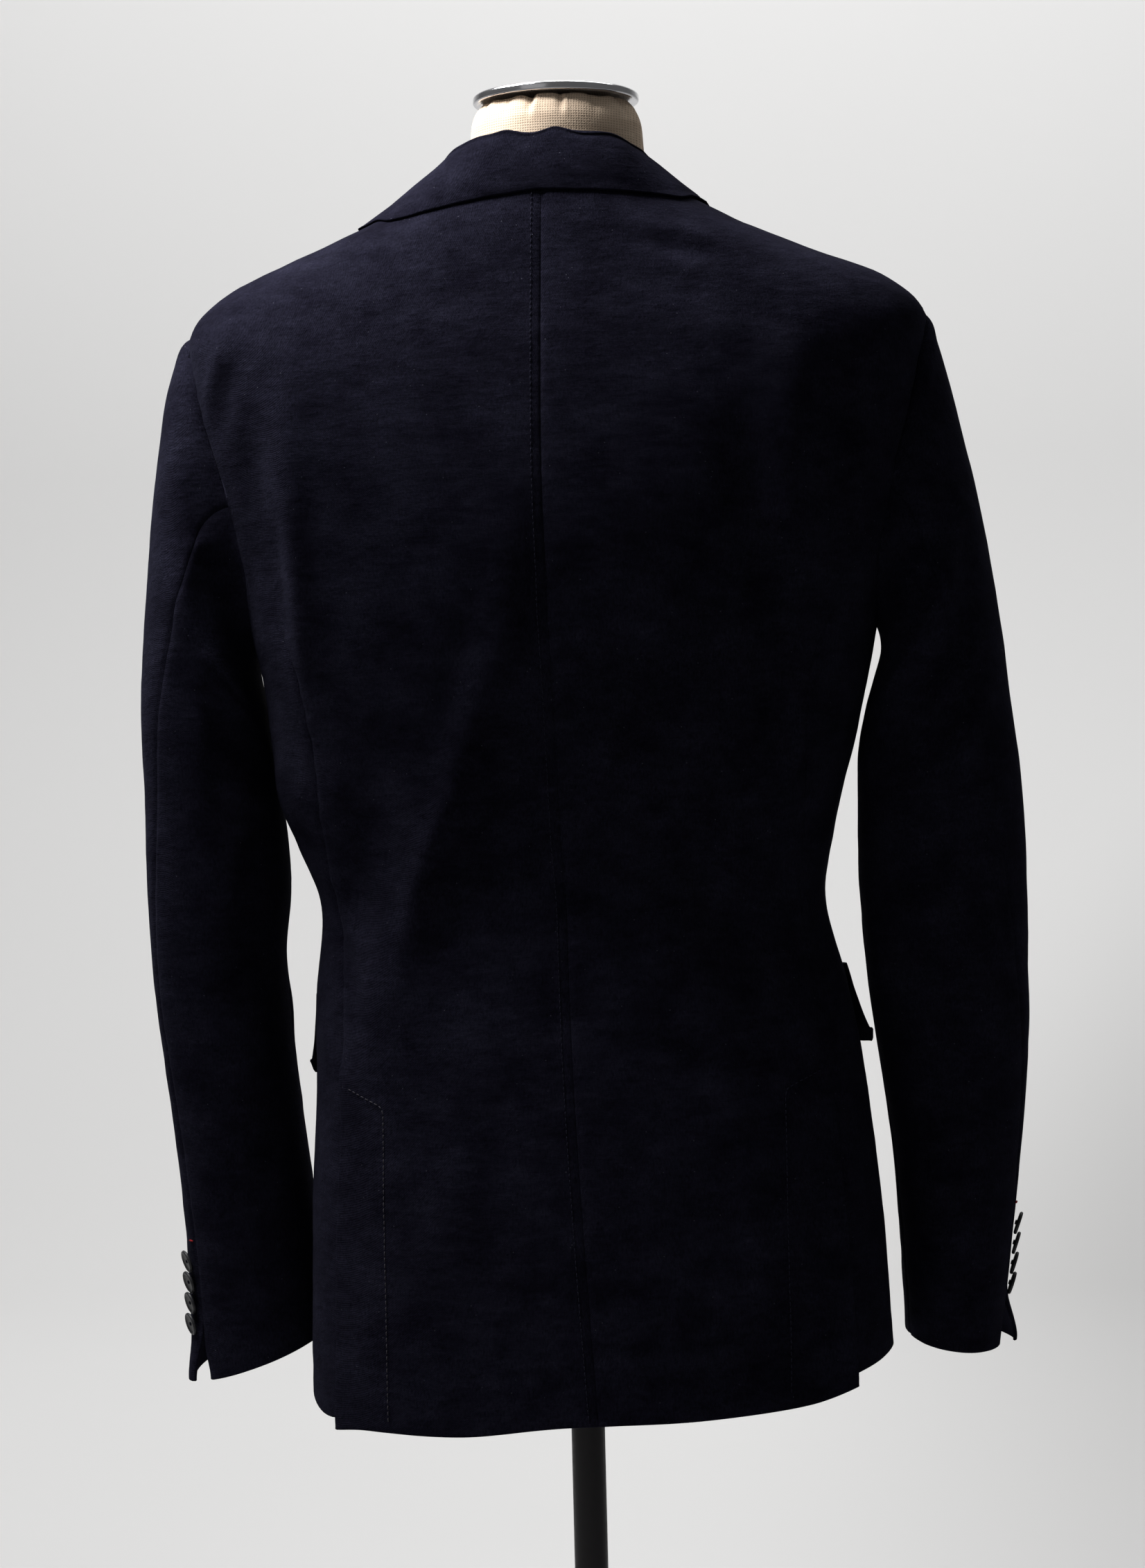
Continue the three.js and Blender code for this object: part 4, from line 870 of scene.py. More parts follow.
def lapel(side, name):
    """The lapel rolls out of the front's edge and lies on the front."""
    start = BREAK_HEIGHT + LAPEL_START[side]
    up = shares(330)[:, None]
    flat = shares(LAPEL_WIDTH, 3.0, (False, True))[None, :]
    turn = np.linspace(0, math.pi, 9)[None, :-1]
    height_flat = lerp(start + 4 * flat, lerp(LAPEL_TOP, LAPEL_CORNER, flat), up)
    outer = roll_line(height_flat, side) + lapel_width(height_flat)
    x_flat = lerp(shown_fold(height_flat, side), outer, flat)
    lift_flat = LAPEL_LIFT + LAPEL_BELLY * np.sin(np.pi * flat) * smooth(start, start + 90, height_flat)
    height_roll = lerp(start, LAPEL_TOP, up) + 0 * turn
    x_roll = shown_fold(height_roll, side) - LAPEL_ROLL * smooth(0, 0.12, up) * np.sin(turn)
    lift_roll = LAPEL_LIFT / 2 - LAPEL_LIFT / 2 * np.cos(turn) + 0 * x_roll
    x = np.concatenate([x_roll, x_flat], axis=1)
    height = np.concatenate([height_roll, height_flat], axis=1)
    lift = np.concatenate([lift_roll, lift_flat], axis=1)
    if side > 0:
        lift = lift + overlap_lift(x)
    _, near_edge = edge_distances(np.stack([x, 0 * x, height], -1))
    lift = lift - stitched_dip(near_edge)
    grid, out = on_face(side * x, height, -1, lift)
    sense = np.sign(np.cos(np.concatenate([turn + 0 * x_roll + math.pi, 0 * x_flat], axis=1)))
    out = facing(normals_of(grid), out * sense[..., None])
    return cloth_piece(
        "lapel_roll_" + name, grid, out, "lapel_" + name,
        rests_on=("panel_front_" + name,), held="folded", thick=LAPEL_THICK,
    )


# Collar
COLLAR = table("at turn foldX foldY foldH edgeX edgeH", [
    (0, 88, 0, 66, 775.5, 0, 740),
    (1, 60, 32, 60, 775.5, 48, 736),
    (2, 33, 56, 38, 771, 84, 732),
    (3, 8, 67, 7, 764, 109, 731),
    (4, -14, 72, -22, 750, 124, 708),
    (5, -32, 71, -45, 726, 126, 684),
    (6, -48, 64, -66, 696, 122, 668),
])
COLLAR_END = 6
COLLAR_SHIFT = 6.0
COLLAR_TILT = 0.05
COLLAR_OFF = 0.5
LEAF_THICK = 1.4
# Where the leaf's edge crosses the shoulders, and how much further out than the table says
CROSSING = 3.1
CROSSING_REACH = {1: 8.0, -1: -11.0}
LEAF_BULGE = 5.0
NOTCH_BACK = 14.0
STAND_REACH = 0.6
FOLD_RADIUS = 1.9


# The uneven top of the collar's fold: distance from the axis, height, half width
COLLAR_WAVES = [
    (-4, 3.6, 8), (10, -0.6, 6), (26, 2.2, 7), (44, 0.8, 9), (-22, -0.8, 7), (-38, 1.6, 9), (-52, -0.8, 7),
]


def from_neck(points):
    """Level directions from the neck's axis to points."""
    return unit((points - (COLLAR_SHIFT, 0, 0)) * (1, 1, 0))


def ridge_height(x):
    """The height of the shoulder's ridge at a distance from the axis."""
    low, _ = bisected(
        np.full(x.shape, SHOULDER_LEVEL), np.full(x.shape, NECK_LEVEL),
        lambda level: half_width(x, level) > np.abs(x),
    )
    return BODY_RINGS["side"](low)


def collar_section(along):
    """The fold, neck seam and leaf edge at places from -1, the right front end, to 1, the left one."""
    side = np.where(along < 0, -1.0, 1.0)
    at = np.abs(along) * COLLAR_END
    fold_x = side * COLLAR["foldX"](at) + COLLAR_SHIFT
    fold = np.stack([fold_x, COLLAR["foldY"](at), COLLAR["foldH"](at)], -1)
    turn = COLLAR["turn"](at)
    seam = body_shape(np.where(side > 0, turn, 180 - turn), NECK_LEVEL + 0.8)
    reach = np.where(side > 0, CROSSING_REACH[1], CROSSING_REACH[-1])
    x = side * (COLLAR["edgeX"](at) + reach * bell(at - CROSSING, 0.9)) + COLLAR_SHIFT
    crest = ridge_height(x) - 1
    on_ridge = smooth(2.2, 2.9, at) * smooth(3.7, 3.2, at)
    height = lerp(COLLAR["edgeH"](at) - COLLAR_TILT * x, crest, on_ridge)
    height = np.minimum(height, crest - 9 * smooth(CROSSING, CROSSING + 0.5, at))
    lift = COLLAR_OFF + LEAF_THICK + 0 * x
    behind, _ = on_face(x, height, 1, lift)
    before, _ = on_face(x, height, -1, lift)
    return fold, seam, np.where((at < CROSSING)[..., None], behind, before)


def collar_leaf():
    along = lerp(-1, 1, shares(560, 3.6))
    fold, _, edge = collar_section(along)
    side = np.where(along < 0, -1.0, 1.0)
    bulge = LEAF_BULGE * smooth(2.4, 0.8, np.abs(along) * COLLAR_END) + 1
    middle = (fold + edge) / 2
    away = from_neck(middle)
    middle = middle + away * bulge[:, None] * 0.6 + np.stack([0 * along, 0 * along, bulge], -1)
    down = shares(48, 3.2, (False, True))[None, :, None]
    leaf = (
        fold[:, None] * (1 - down) ** 2 + middle[:, None] * 2 * down * (1 - down) + edge[:, None] * down**2
    )
    notch = NOTCH_BACK * smooth(0.93, 1, np.abs(along))[:, None] * np.sin(
        np.pi * np.clip(down[..., 0] * 1.25, 0, 1))
    leaf = leaf + np.stack([-0.1 * side[:, None] * notch, 0.25 * notch, 0.6 * notch], -1)
    # over the fold and down inside, to meet the stand
    turn = np.linspace(math.pi * 0.94, 0.12, 8)[None, :, None]
    centre = fold[:, None] - away[:, None] * FOLD_RADIUS
    over = centre + FOLD_RADIUS * (away[:, None] * np.cos(turn) + np.array([0, 0, 1.0]) * np.sin(turn))
    inside = centre[:, :1] - away[:, None] * FOLD_RADIUS + np.array([0, 0, -5.0])
    grid = np.concatenate([inside, over, leaf], axis=1)
    wave = sum(depth * bell(fold[:, 0] - x, width) for x, depth, width in COLLAR_WAVES)
    near_fold = bell(np.arange(grid.shape[1]) - 8, 5.0)
    grid[..., 2] += (wave * smooth(0, 20, fold[:, 1]))[:, None] * near_fold[None, :]
    ripple = rumple(grid) * 0.8
    out = normals_of(grid)
    lead = out[len(along) // 2, -6]
    if lead[1] < 0:
        out = -out
    _, near_edge = edge_distances(grid)
    lift = ripple - stitched_dip(near_edge)
    lift = lift * smooth(0, 3, near_edge)
    grid = grid + out * lift[..., None]
    return cloth_piece(
        "collar_fall", grid, out, "collar_leaf",
        rests_on=("panel_back_left",), held="folded", thick=LEAF_THICK,
    )


def collar_stand():
    along = lerp(-STAND_REACH, STAND_REACH, shares(320, 5.0))
    fold, seam, _ = collar_section(along)
    inward = -from_neck(seam)
    top = fold + inward * 3.2 + np.array([0, 0, -3.0])
    up = np.linspace(0, 1, 8)[None, :, None]
    grid = lerp(seam[:, None], top[:, None], up)
    out = facing(normals_of(grid), -inward[:, None] + 0 * grid)
    return cloth_piece("collar_band", grid, out, "collar_stand", rests_on=("dress_form",), thick=1.6)


# Sleeves
SLEEVE_COLUMNS = "at outX outH inX inH front back dip seam"
SLEEVES = {
    1: table(SLEEVE_COLUMNS, [
        (0, 233, 667, 198, 474, -80, 52, 0, 100),
        (1, 244, 658, 200, 466, -78, 53, 0, 98),
        (2, 251, 636, 200, 459, -77, 54, 0, 94),
        (3, 256, 604, 199.5, 452, -76, 55, 0, 90),
        (4, 261, 566, 198, 444, -75, 55, 0, 84),
        (5, 266, 522, 195.5, 434, -74, 54, 0, 76),
        (6, 270, 476, 193, 418, -74, 52, 0, 66),
        (7, 273, 428, 190, 394, -74, 48, 0, 56),
        (8, 274, 378, 185.5, 360, -75, 42, 0, 48),
        (9, 274, 328, 184, 320, -76, 36, 0, 42),
        (10, 273, 278, 188, 276, -78, 29, 0, 38),
        (11, 270, 230, 187, 232, -80, 22, 1, 36),
        (12, 266, 184, 183, 188, -83, 15, 2, 37),
        (13, 262, 138, 179, 146, -86, 8, 3, 39),
        (14, 259, 94, 175, 107, -88, 3, 4, 41),
        (15, 258, 50, 172, 70, -90, -2, 5, 43),
        (16, 258, 6, 170, 34, -92, -6, 7, 45),
    ]),
    -1: table(SLEEVE_COLUMNS, [
        (0, 227, 667, 193, 474, -80, 52, 0, 100),
        (1, 235, 652, 195, 466, -78, 53, 0, 98),
        (2, 242, 624, 195, 459, -77, 54, 0, 94),
        (3, 249, 592, 193.5, 452, -76, 55, 0, 90),
        (4, 257, 556, 191, 444, -75, 55, 0, 86),
        (5, 264, 516, 188, 434, -74, 54, 0, 80),
        (6, 270, 474, 183.5, 418, -74, 52, 0, 72),
        (7, 275, 428, 179, 396, -74, 48, 0, 62),
        (8, 280, 378, 178, 362, -75, 42, 0, 52),
        (9, 282, 328, 177, 322, -77, 36, 0, 44),
        (10, 282, 278, 179, 278, -80, 30, 0, 36),
        (11, 282, 230, 183, 234, -84, 24, 0, 29),
        (12, 280, 184, 189, 190, -88, 20, 0, 23),
        (13, 275, 140, 194, 148, -92, 17, 1, 18),
        (14, 270, 98, 197, 108, -95, 15, 2, 14),
        (15, 265, 58, 199, 68, -97, 14, 3, 11),
        (16, 260, 22, 200, 30, -99, 13, 4, 9),
    ]),
}
SLEEVE_ROWS = 16
SLEEVE_LENGTH = 650.0
UNDERSLEEVE_DEG = 150.0
SLEEVE_SQUARE = 2.1
SLEEVE_TUCK = 0.8
HEAD_ROWS = 2.6
NOTCH_ROWS = 0.66
NOTCH_DEG = 6.5
CUFF_FLARE = {1: 6.0, -1: 10.5}

# The large sleeve folds: row, angle, slant, reach, height, half width in rows
SLEEVE_FOLDS = {
    1: [
        (5.2, 110, 0.012, 70, 5, 0.5),
        (6.6, 120, 0.014, 60, -4, 0.5),
        (9.2, 250, -0.01, 70, -5, 0.6),
        (10.4, 240, -0.01, 70, 4, 0.5),
    ],
    -1: [
        (5.0, 100, 0.02, 60, 5, 0.5),
        (6.4, 95, 0.026, 60, -5, 0.55),
        (7.8, 90, 0.022, 60, 4, 0.5),
        (9.4, 250, -0.01, 70, -5, 0.6),
    ],
}

# Finer sleeve creases, as seen from behind or in front: face, height, half width, points
SLEEVE_CREASES = {
    1: [
        (1, 2.4, 5, [(207, 534), (217, 531), (228, 534)]),
        (1, -2.6, 5, [(205, 524), (216, 520), (228, 523)]),
        (1, 2.2, 6, [(227, 537), (232, 510), (234, 484)]),
        (1, -2.6, 8, [(218, 520), (221, 490), (222, 460)]),
        (1, 1.8, 8, [(222, 470), (227, 430), (226, 390)]),
        (1, -2.0, 9, [(212, 440), (216, 380), (214, 330)]),
        (1, 1.6, 8, [(206, 360), (214, 300), (214, 250)]),
        (1, 1.4, 9, [(238, 240), (222, 200), (202, 172)]),
        (1, -1.4, 9, [(242, 214), (226, 176), (206, 146)]),
        (1, 1.2, 9, [(250, 340), (256, 280), (254, 220)]),
        (-1, 1.6, 8, [(200, 360), (230, 330), (262, 320)]),
        (-1, -1.6, 8, [(196, 330), (226, 304), (262, 296)]),
    ],
    -1: [
        (1, 3.0, 6, [(-205, 516), (-227, 512), (-238, 497), (-229, 470), (-222, 445), (-215, 418),
                     (-211, 387)]),
        (1, 2.6, 6, [(-215, 416), (-232, 432), (-245, 446), (-257, 467)]),
        (1, -2.8, 7, [(-216, 402), (-236, 416), (-252, 434), (-263, 450)]),
        (1, 2.2, 6, [(-236, 559), (-249, 542), (-260, 526)]),
        (1, -2.6, 7, [(-230, 546), (-241, 528), (-252, 510)]),
        (1, -2.6, 6, [(-222, 500), (-216, 470), (-209, 440)]),
        (1, 1.8, 7, [(-212, 580), (-222, 560), (-226, 540)]),
        (1, 1.6, 8, [(-208, 385), (-214, 330), (-218, 290)]),
        (1, -1.6, 9, [(-250, 400), (-242, 340), (-246, 290)]),
        (1, 1.4, 9, [(-262, 300), (-254, 230), (-256, 170)]),
        (1, 1.2, 9, [(-214, 230), (-226, 170), (-224, 110)]),
        (-1, 1.6, 8, [(-200, 360), (-230, 330), (-262, 320)]),
        (-1, -1.6, 8, [(-196, 330), (-226, 304), (-262, 296)]),
    ],
}


def armhole_point(side, deg):
    turn = np.radians(deg)
    backward = np.sin(turn) >= 0
    local = np.where(backward, armhole_deg(turn, True), -armhole_deg(turn, False))
    body, level = from_side(side, local), armhole_level(turn)
    return body_point(body, level) - body_out(body, level) * SLEEVE_TUCK


def sleeve_shape(side, at, deg, fine=True):
    at, deg = np.broadcast_arrays(np.asarray(at, float), np.asarray(deg, float))
    read = SLEEVES[side]
    outer = np.stack([read["outX"](at), read["outH"](at)], -1)
    inner = np.stack([read["inX"](at), read["inH"](at)], -1)
    half, middle = (outer - inner) / 2, (outer + inner) / 2
    c, s = np.cos(np.radians(deg)), np.sin(np.radians(deg))
    p = 2 / SLEEVE_SQUARE
    lift = np.zeros_like(at)
    for row, angle, slant, reach, depth, width in SLEEVE_FOLDS[side]:
        around = (deg - angle + 180) % 360 - 180
        off = at - row - slant * around
        lift += depth * smooth(reach, reach * 0.3, np.abs(around)) * bell(off, width)
    front, back = read["front"](at), read["back"](at)

    def points(lift):
        grow = 1 + lift / np.hypot(half[..., 0], half[..., 1])
        xz = middle + half * (power(c, p) * grow)[..., None]
        y = (front + back) / 2 + power(s, p) * grow * (back - front) / 2
        return np.stack([side * xz[..., 0], y, xz[..., 1] - s * read["dip"](at)], -1)

    tube = points(lift)
    if fine:
        more = creases(SLEEVE_CREASES[side], s, tube[..., 0], tube[..., 2]) + rumple(tube)
        tube = points(lift + more * smooth(0, 1.5, at))
    blend = (1 - (1 - np.clip(at / HEAD_ROWS, 0, 1)) ** 2)[..., None]
    return np.where(blend < 1, lerp(armhole_point(side, deg), tube, blend), tube)


def cuff_flare(side, rows):
    return CUFF_FLARE[side] * smooth(SLEEVE_ROWS - 1, SLEEVE_ROWS, rows)


def sleeve_piece(side, under, name):
    rows = (shares(SLEEVE_LENGTH, 4.2) * SLEEVE_ROWS)[:, None]
    seam = SLEEVES[side]["seam"](rows)
    slit = NOTCH_DEG * smooth(SLEEVE_ROWS - NOTCH_ROWS, SLEEVE_ROWS, rows)
    start = seam + slit if under else seam + UNDERSLEEVE_DEG - 360
    stop = seam + UNDERSLEEVE_DEG if under else seam - slit
    across = shares(SIDE_WIDTH if under else PANEL_WIDTH)[None, :]
    deg = lerp(start, stop, across)
    grid = sleeve_shape(side, rows, deg)
    out = facing(normals_of(grid), grid - sleeve_shape(side, rows, deg + 180, fine=False))
    near_first, near_last = edge_distances(grid)
    steps = np.linalg.norm(np.diff(grid, axis=0), axis=-1)
    from_head = np.concatenate([np.zeros((1, grid.shape[1])), np.cumsum(steps, axis=0)])
    crown = smooth(140, 60, np.abs((deg + 180) % 360 - 180))
    lift = -seam_dip(near_first) - seam_dip(near_last)
    lift = lift + 1.6 * crown * bell(from_head - 10, 7.0) * smooth(0, 4, from_head)
    if not under:
        lift = lift + cuff_flare(side, rows) * smooth(0.8, 1, across)
    grid = grid + out * lift[..., None]
    kind = "under" if under else "top"
    return cloth_piece(
        kind + "_sleeve_" + name, grid, facing(normals_of(grid), out), kind + "sleeve_" + name,
        held="hung", rests_on=("panel_back_" + name,),
    )


# Pocket flaps
# The level of each flap's top, its slope and how far its free edge stands off
POCKETS = {1: (250.0, 0.03, 4.0), -1: (262.0, 0.03, 6.0)}
FLAP_REAR_DEG = -4.0
FLAP_REACH = 165.0
RADIAN_DEG = 57.3
FLAP_DEG = POCKET_LENGTH / FLAP_REACH * RADIAN_DEG
FLAP_THICK = 1.6
FLAP_CORNER = 7.0


def flap(side, name):
    height, slope, kick = POCKETS[side]
    down = shares(POCKET_DEPTH, 3.0)[:, None]
    share = shares(POCKET_LENGTH, 3.5)[None, :]
    level = height - POCKET_DEPTH * down - slope * POCKET_LENGTH * share
    deg = from_side(side, lerp(FLAP_REAR_DEG, FLAP_REAR_DEG - FLAP_DEG, share) + 0 * down)
    corner = FLAP_CORNER * smooth(0.8, 1.0, down) * (smooth(0.08, 0, share) + smooth(0.92, 1, share))
    lift = CLOTH + 0.8 + kick * down**2 * smooth(0.7, 0, share) + 0.8 * down
    grid, out = lifted(deg, level + corner, lift)
    return cloth_piece(
        "flap_" + name, grid, out, "pocket_flap_" + name,
        rests_on=("panel_front_" + name,), held="hung", thick=FLAP_THICK,
    )


# Stitches
STITCH_SIDES = 6
# Along a stitch: share of its length, of its radius, and how far it stands out of the cloth
STITCH_PROFILE = ((0.0, 0.25, -0.25), (0.2, 1.0, 0.12), (0.8, 1.0, 0.12), (1.0, 0.25, -0.25))


def stitches(name, path, out, length=2.6, gap=1.1, radius=0.32, material=THREAD):
    """A row of small sunk stitches along a path of points on the cloth."""
    steps = np.linalg.norm(np.diff(path, axis=0), axis=1)
    far = np.concatenate([[0], np.cumsum(steps)])
    starts = np.arange(0.5, far[-1] - length, length + gap)
    points, faces = [], []

    def at(rows, place_along):
        return np.array([np.interp(place_along, far, rows[:, k]) for k in range(3)])

    for begin in starts:
        a, b, normal = at(path, begin), at(path, begin + length), at(out, begin)
        along = unit(b - a)
        normal = unit(normal - along * np.dot(normal, along))
        cross = np.cross(along, normal)
        first = len(points)
        for t, size, height in STITCH_PROFILE:
            centre = a + (b - a) * t + normal * height
            for k in range(STITCH_SIDES):
                turn = 2 * math.pi * k / STITCH_SIDES
                points.append(centre + radius * size * (math.cos(turn) * cross + math.sin(turn) * normal))
        last = len(points) - STITCH_SIDES
        for ring in range(first, last, STITCH_SIDES):
            for k in range(STITCH_SIDES):
                p, q = ring + k, ring + (k + 1) % STITCH_SIDES
                faces.append((p, q, q + STITCH_SIDES, p + STITCH_SIDES))
        faces.append(tuple(reversed(range(first, first + STITCH_SIDES))))
        faces.append(tuple(range(last, last + STITCH_SIDES)))
    return finished(new_object(name, np.array(points), faces, material))


def stitch_on_face(name, x, height, face, lift=0.15, **kinds):
    path, out = on_face(x, height, face, np.full(len(x), lift))
    return stitches(name, path, out, **kinds)


# Lathe work
def lathe(name, profile, segments, material, centre=(0, 0, 0), axis=(0, 0, 1)):
    """A closed solid of revolution from (radius, height) pairs that start and end on the axis."""
    axis = Vector(axis).normalized()
    turn = Vector((0, 0, 1)).rotation_difference(axis).to_matrix()
    inner = profile[1:-1]
    turns = [2 * math.pi * k / segments for k in range(segments)]
    points = [(r * math.cos(a), r * math.sin(a), height) for r, height in inner for a in turns]
    points += [(0, 0, profile[0][1]), (0, 0, profile[-1][1])]
    points = np.array([turn @ Vector(p) for p in points]) + np.asarray(centre, float)
    return new_object(name, points, ring_faces(len(inner), segments), material)


def rounded(profile, radius=0.4, steps=3):
    """The profile with each corner replaced by a short curve."""
    result = [profile[0]]
    for before, corner, after in zip(profile[:-2], profile[1:-1], profile[2:]):
        b, c, a = (np.array(v, float) for v in (before, corner, after))
        reach = min(radius, np.linalg.norm(b - c) * 0.45, np.linalg.norm(a - c) * 0.45)
        start, stop = c + unit(b - c) * reach, c + unit(a - c) * reach
        for t in np.linspace(0, 1, steps + 1):
            result.append(tuple(start * (1 - t) ** 2 + c * 2 * t * (1 - t) + stop * t**2))
    return result + [profile[-1]]


FRONT_BUTTON_RADIUS = 10.0
CUFF_BUTTON_RADIUS = 7.5
THREAD_HEIGHT = 2.42


def sewn_button(name, node, radius, point, out):
    """A button with a rim, a dished middle and crossed thread."""
    profile = [(0, 0.1), (1.5, 0.1), (1.5, 1.0), (radius - 0.9, 1.2), (radius, 2.0), (radius - 0.4, 3.2),
               (radius - 1.1, 3.4), (radius * 0.66, 2.6), (radius * 0.3, 2.4), (0, 2.4)]
    finished(lathe(name, rounded(profile, 0.35), 48, HORN, point, out), node, slot="button")
    turn = Vector((0, 0, 1)).rotation_difference(Vector(out)).to_matrix()
    u, v, w = (np.array(turn @ Vector(e)) for e in ((1, 0, 0), (0, 1, 0), (0, 0, 1)))
    hole = radius * 0.17
    for k, (a, b) in enumerate(((1, 1), (1, -1))):
        start = point + w * THREAD_HEIGHT + (u * a + v * b) * hole
        stop = point + w * THREAD_HEIGHT - (u * a + v * b) * hole
        middle = (start + stop) / 2 + w * (0.35 + 0.3 * k)
        path = np.array([start * (1 - t) ** 2 + middle * 2 * t * (1 - t) + stop * t**2
                         for t in np.linspace(0, 1, 7)])
        thread = stitches(
            f"{name}_thread_{k + 1}", path, np.tile(w, (7, 1)), length=hole * 2.2, gap=5, radius=0.42
        )


# Dress form and stand
FORM_BOTTOM = 72.0
FORM_ROOM = table("level room", [
    (FORM_BOTTOM, 16), (200, 13), (305, 8), (400, 9), (474, 10), (560, 9), (605, 7),
    (SHOULDER_LEVEL, CLOTH + 4), (652, CLOTH + 2.8), (674, CLOTH + 2.1), (698, CLOTH + 2.1),
    (724, CLOTH + 2.2), (NECK_LEVEL, CLOTH + 6),
])["room"]
CAP_RADIUS = 52.0
CAP_TOP = 811.0
CAP_BAND = 5.4
POLE_RADIUS = 10.5
BLOCK_RADIUS = 31.5
FOOT_RADIUS = 160.0


# The folds where the linen is pleated in under the cap: angle, depth, half its width in degrees
NECK_PLEATS = [
    (98, -2.4, 2.2), (101, 1.4, 1.6), (80, 1.2, 3.0), (76, -2.6, 2.0), (57, -1.2, 3.0), (40, 0.8, 4.0),
    (30, -1.6, 3.0), (122, -1.4, 3.0), (138, 0.8, 4.0), (150, -1.8, 3.0), (168, 0.8, 4.0), (12, 0.8, 5.0),
    (192, -1.6, 3.0), (214, 0.9, 4.0), (236, -1.8, 3.0), (258, 1.0, 4.0), (280, -1.6, 3.0), (302, 1.0, 4.0),
    (324, -1.8, 3.0), (345, 1.0, 4.0),
]
NECK_SEAMS = [(middle, -0.5, 0.7) for middle in (22, 158, 270)]
# How far the linen's top edge stays short of the cap, beyond the least gap
NECK_SAG = [(75, 2.4, 5), (100, 1.0, 6), (50, 1.2, 10), (130, 1.4, 10), (210, 1.5, 20)]
SAG_LEAST = 0.7


def bumps(at, rows):
    """The sum of soft bumps along a circle of degrees."""
    return sum(depth * bell((at - middle + 180) % 360 - 180, width) for middle, depth, width in rows)


def form_cover():
    """The form's linen: smooth over the body, gathered where the neck goes under its cap."""
    deg = np.linspace(0, 360, 217)[:-1][None, :]
    levels = np.concatenate([[FORM_BOTTOM], np.linspace(FORM_BOTTOM + 1, NECK_LEVEL, 150)])[:, None]
    body = body_shape(deg, levels)
    body = body - outward(body_shape, deg, levels, 0.6, 2) * (FORM_ROOM(levels) + 0 * deg)[..., None]
    body[0, :, 2] = FORM_BOTTOM
    top = CAP_TOP - CAP_BAND - 0.3
    heights = np.concatenate([np.linspace(758, 788, 14), np.linspace(790, top, 14)])
    neck = Reader([752, 764, 778, 791, 800, top], [59, 55.5, 54.3, 53.2, 50, 45.5])
    heights = heights[:, None]
    radius = neck(heights) + bumps(deg, NECK_PLEATS) * smooth(786, top, heights) + bumps(deg, NECK_SEAMS)
    sag = (SAG_LEAST + bumps(deg, NECK_SAG)) * smooth(790, top, heights)
    turn = np.radians(deg)
    rings = np.stack([radius * np.cos(turn), radius * np.sin(turn), heights - sag], -1)
    grid = np.concatenate([body, rings])
    rows, cols = grid.shape[:2]
    points = np.concatenate([grid.reshape(-1, 3), grid[:1].mean(1), grid[-1:].mean(1)])
    obj = new_object("form_cover", points, ring_faces(rows, cols), LINEN)
    finished(obj, "dress_form", slot="linen")


def stand():
    low = CAP_TOP - CAP_BAND
    cap = [(0, low), (CAP_RADIUS - 3.4, low), (CAP_RADIUS - 2.6, low - 0.1), (CAP_RADIUS - 0.7, low + 0.1),
           (CAP_RADIUS, low + 0.9), (CAP_RADIUS, CAP_TOP - 1.3), (CAP_RADIUS - 1.2, CAP_TOP - 0.2),
           (CAP_RADIUS - 4, CAP_TOP + 0.4), (CAP_RADIUS - 12, CAP_TOP + 2), (22, CAP_TOP + 4),
           (0, CAP_TOP + 4.8)]
    finished(lathe("cap_dome", rounded(cap, 1.2), 128, CHROME), "neck_cap", slot="cap")
    floor = -HEM_HEIGHT
    plate = floor + 16
    block = FORM_BOTTOM - 0.3
    pole = [(0, plate), (POLE_RADIUS, plate), (POLE_RADIUS, block - 6), (BLOCK_RADIUS, block - 6),
            (BLOCK_RADIUS, block), (0, block)]
    finished(lathe("pole_tube", rounded(pole, 0.8), 64, BLACK_STEEL), "stand_pole", slot="stand")
    foot = [(0, floor), (FOOT_RADIUS - 1, floor), (FOOT_RADIUS, floor + 1), (FOOT_RADIUS, floor + 7),
            (FOOT_RADIUS - 3, floor + 9), (22, floor + 11), (17, plate), (17, floor + 44.5),
            (15.5, floor + 46), (10.8, floor + 46), (10.8, plate - 0.3), (0, plate - 0.3)]
    finished(lathe("foot_plate", rounded(foot, 0.8), 128, BLACK_STEEL), "stand_foot", slot="stand")


# Putting it together
SIDES = ((1, "left"), (-1, "right"))
form_cover()
stand()
for side, name in SIDES:
    back_panel(side, name)
    side_panel(side, name)
    front_panel(side, name)
    lapel(side, name)
    sleeve_piece(side, False, name)
    sleeve_piece(side, True, name)
    flap(side, name)
collar_leaf()
collar_stand()

# the topstitching beside the centre-back seam
heights = np.linspace(742, 0, 160)
stitch_on_face("stitches_centre_back", BACK_SEAMS["centre"](heights) + TOPSTITCH_IN, heights, 1)

# The stitched vent facings: slanted line's outer end, upright line's place, highest and lowest stitch
VENT_STITCHES = {1: (133, 111.5, 196, -6, PALE_THREAD), -1: (150, 129.0, 202, 8, THREAD)}


def vent_stitches(side, name):
    outer, line, top, low, thread = VENT_STITCHES[side]
    x = np.concatenate([np.linspace(outer, outer - 20, 6), np.full(24, line)])
    heights = np.concatenate([np.linspace(top, top - 10, 6), np.linspace(top - 14, low, 24)])
    stitch_on_face("stitches_vent_" + name, side * x, heights, 1, lift=VENT_LIFT + 0.1, material=thread)


for side, name in SIDES:
    vent_stitches(side, name)

for i, height in enumerate((UPPER_BUTTON, LOWER_BUTTON)):
    spot, out = on_face(np.array([0.0]), np.array([height]), -1, np.array([OVERLAP_LIFT]))
    sewn_button(f"button_front_{i + 1}", f"front_button_{i + 1}", FRONT_BUTTON_RADIUS, spot[0], out[0])

# The lowest button's height, their spacing, how far before the seam in degrees, how much each leans
CUFF_BUTTONS = {1: (42.0, 13.4, 12.0, 12.0), -1: (58.0, 12.8, 8.0, 12.0)}


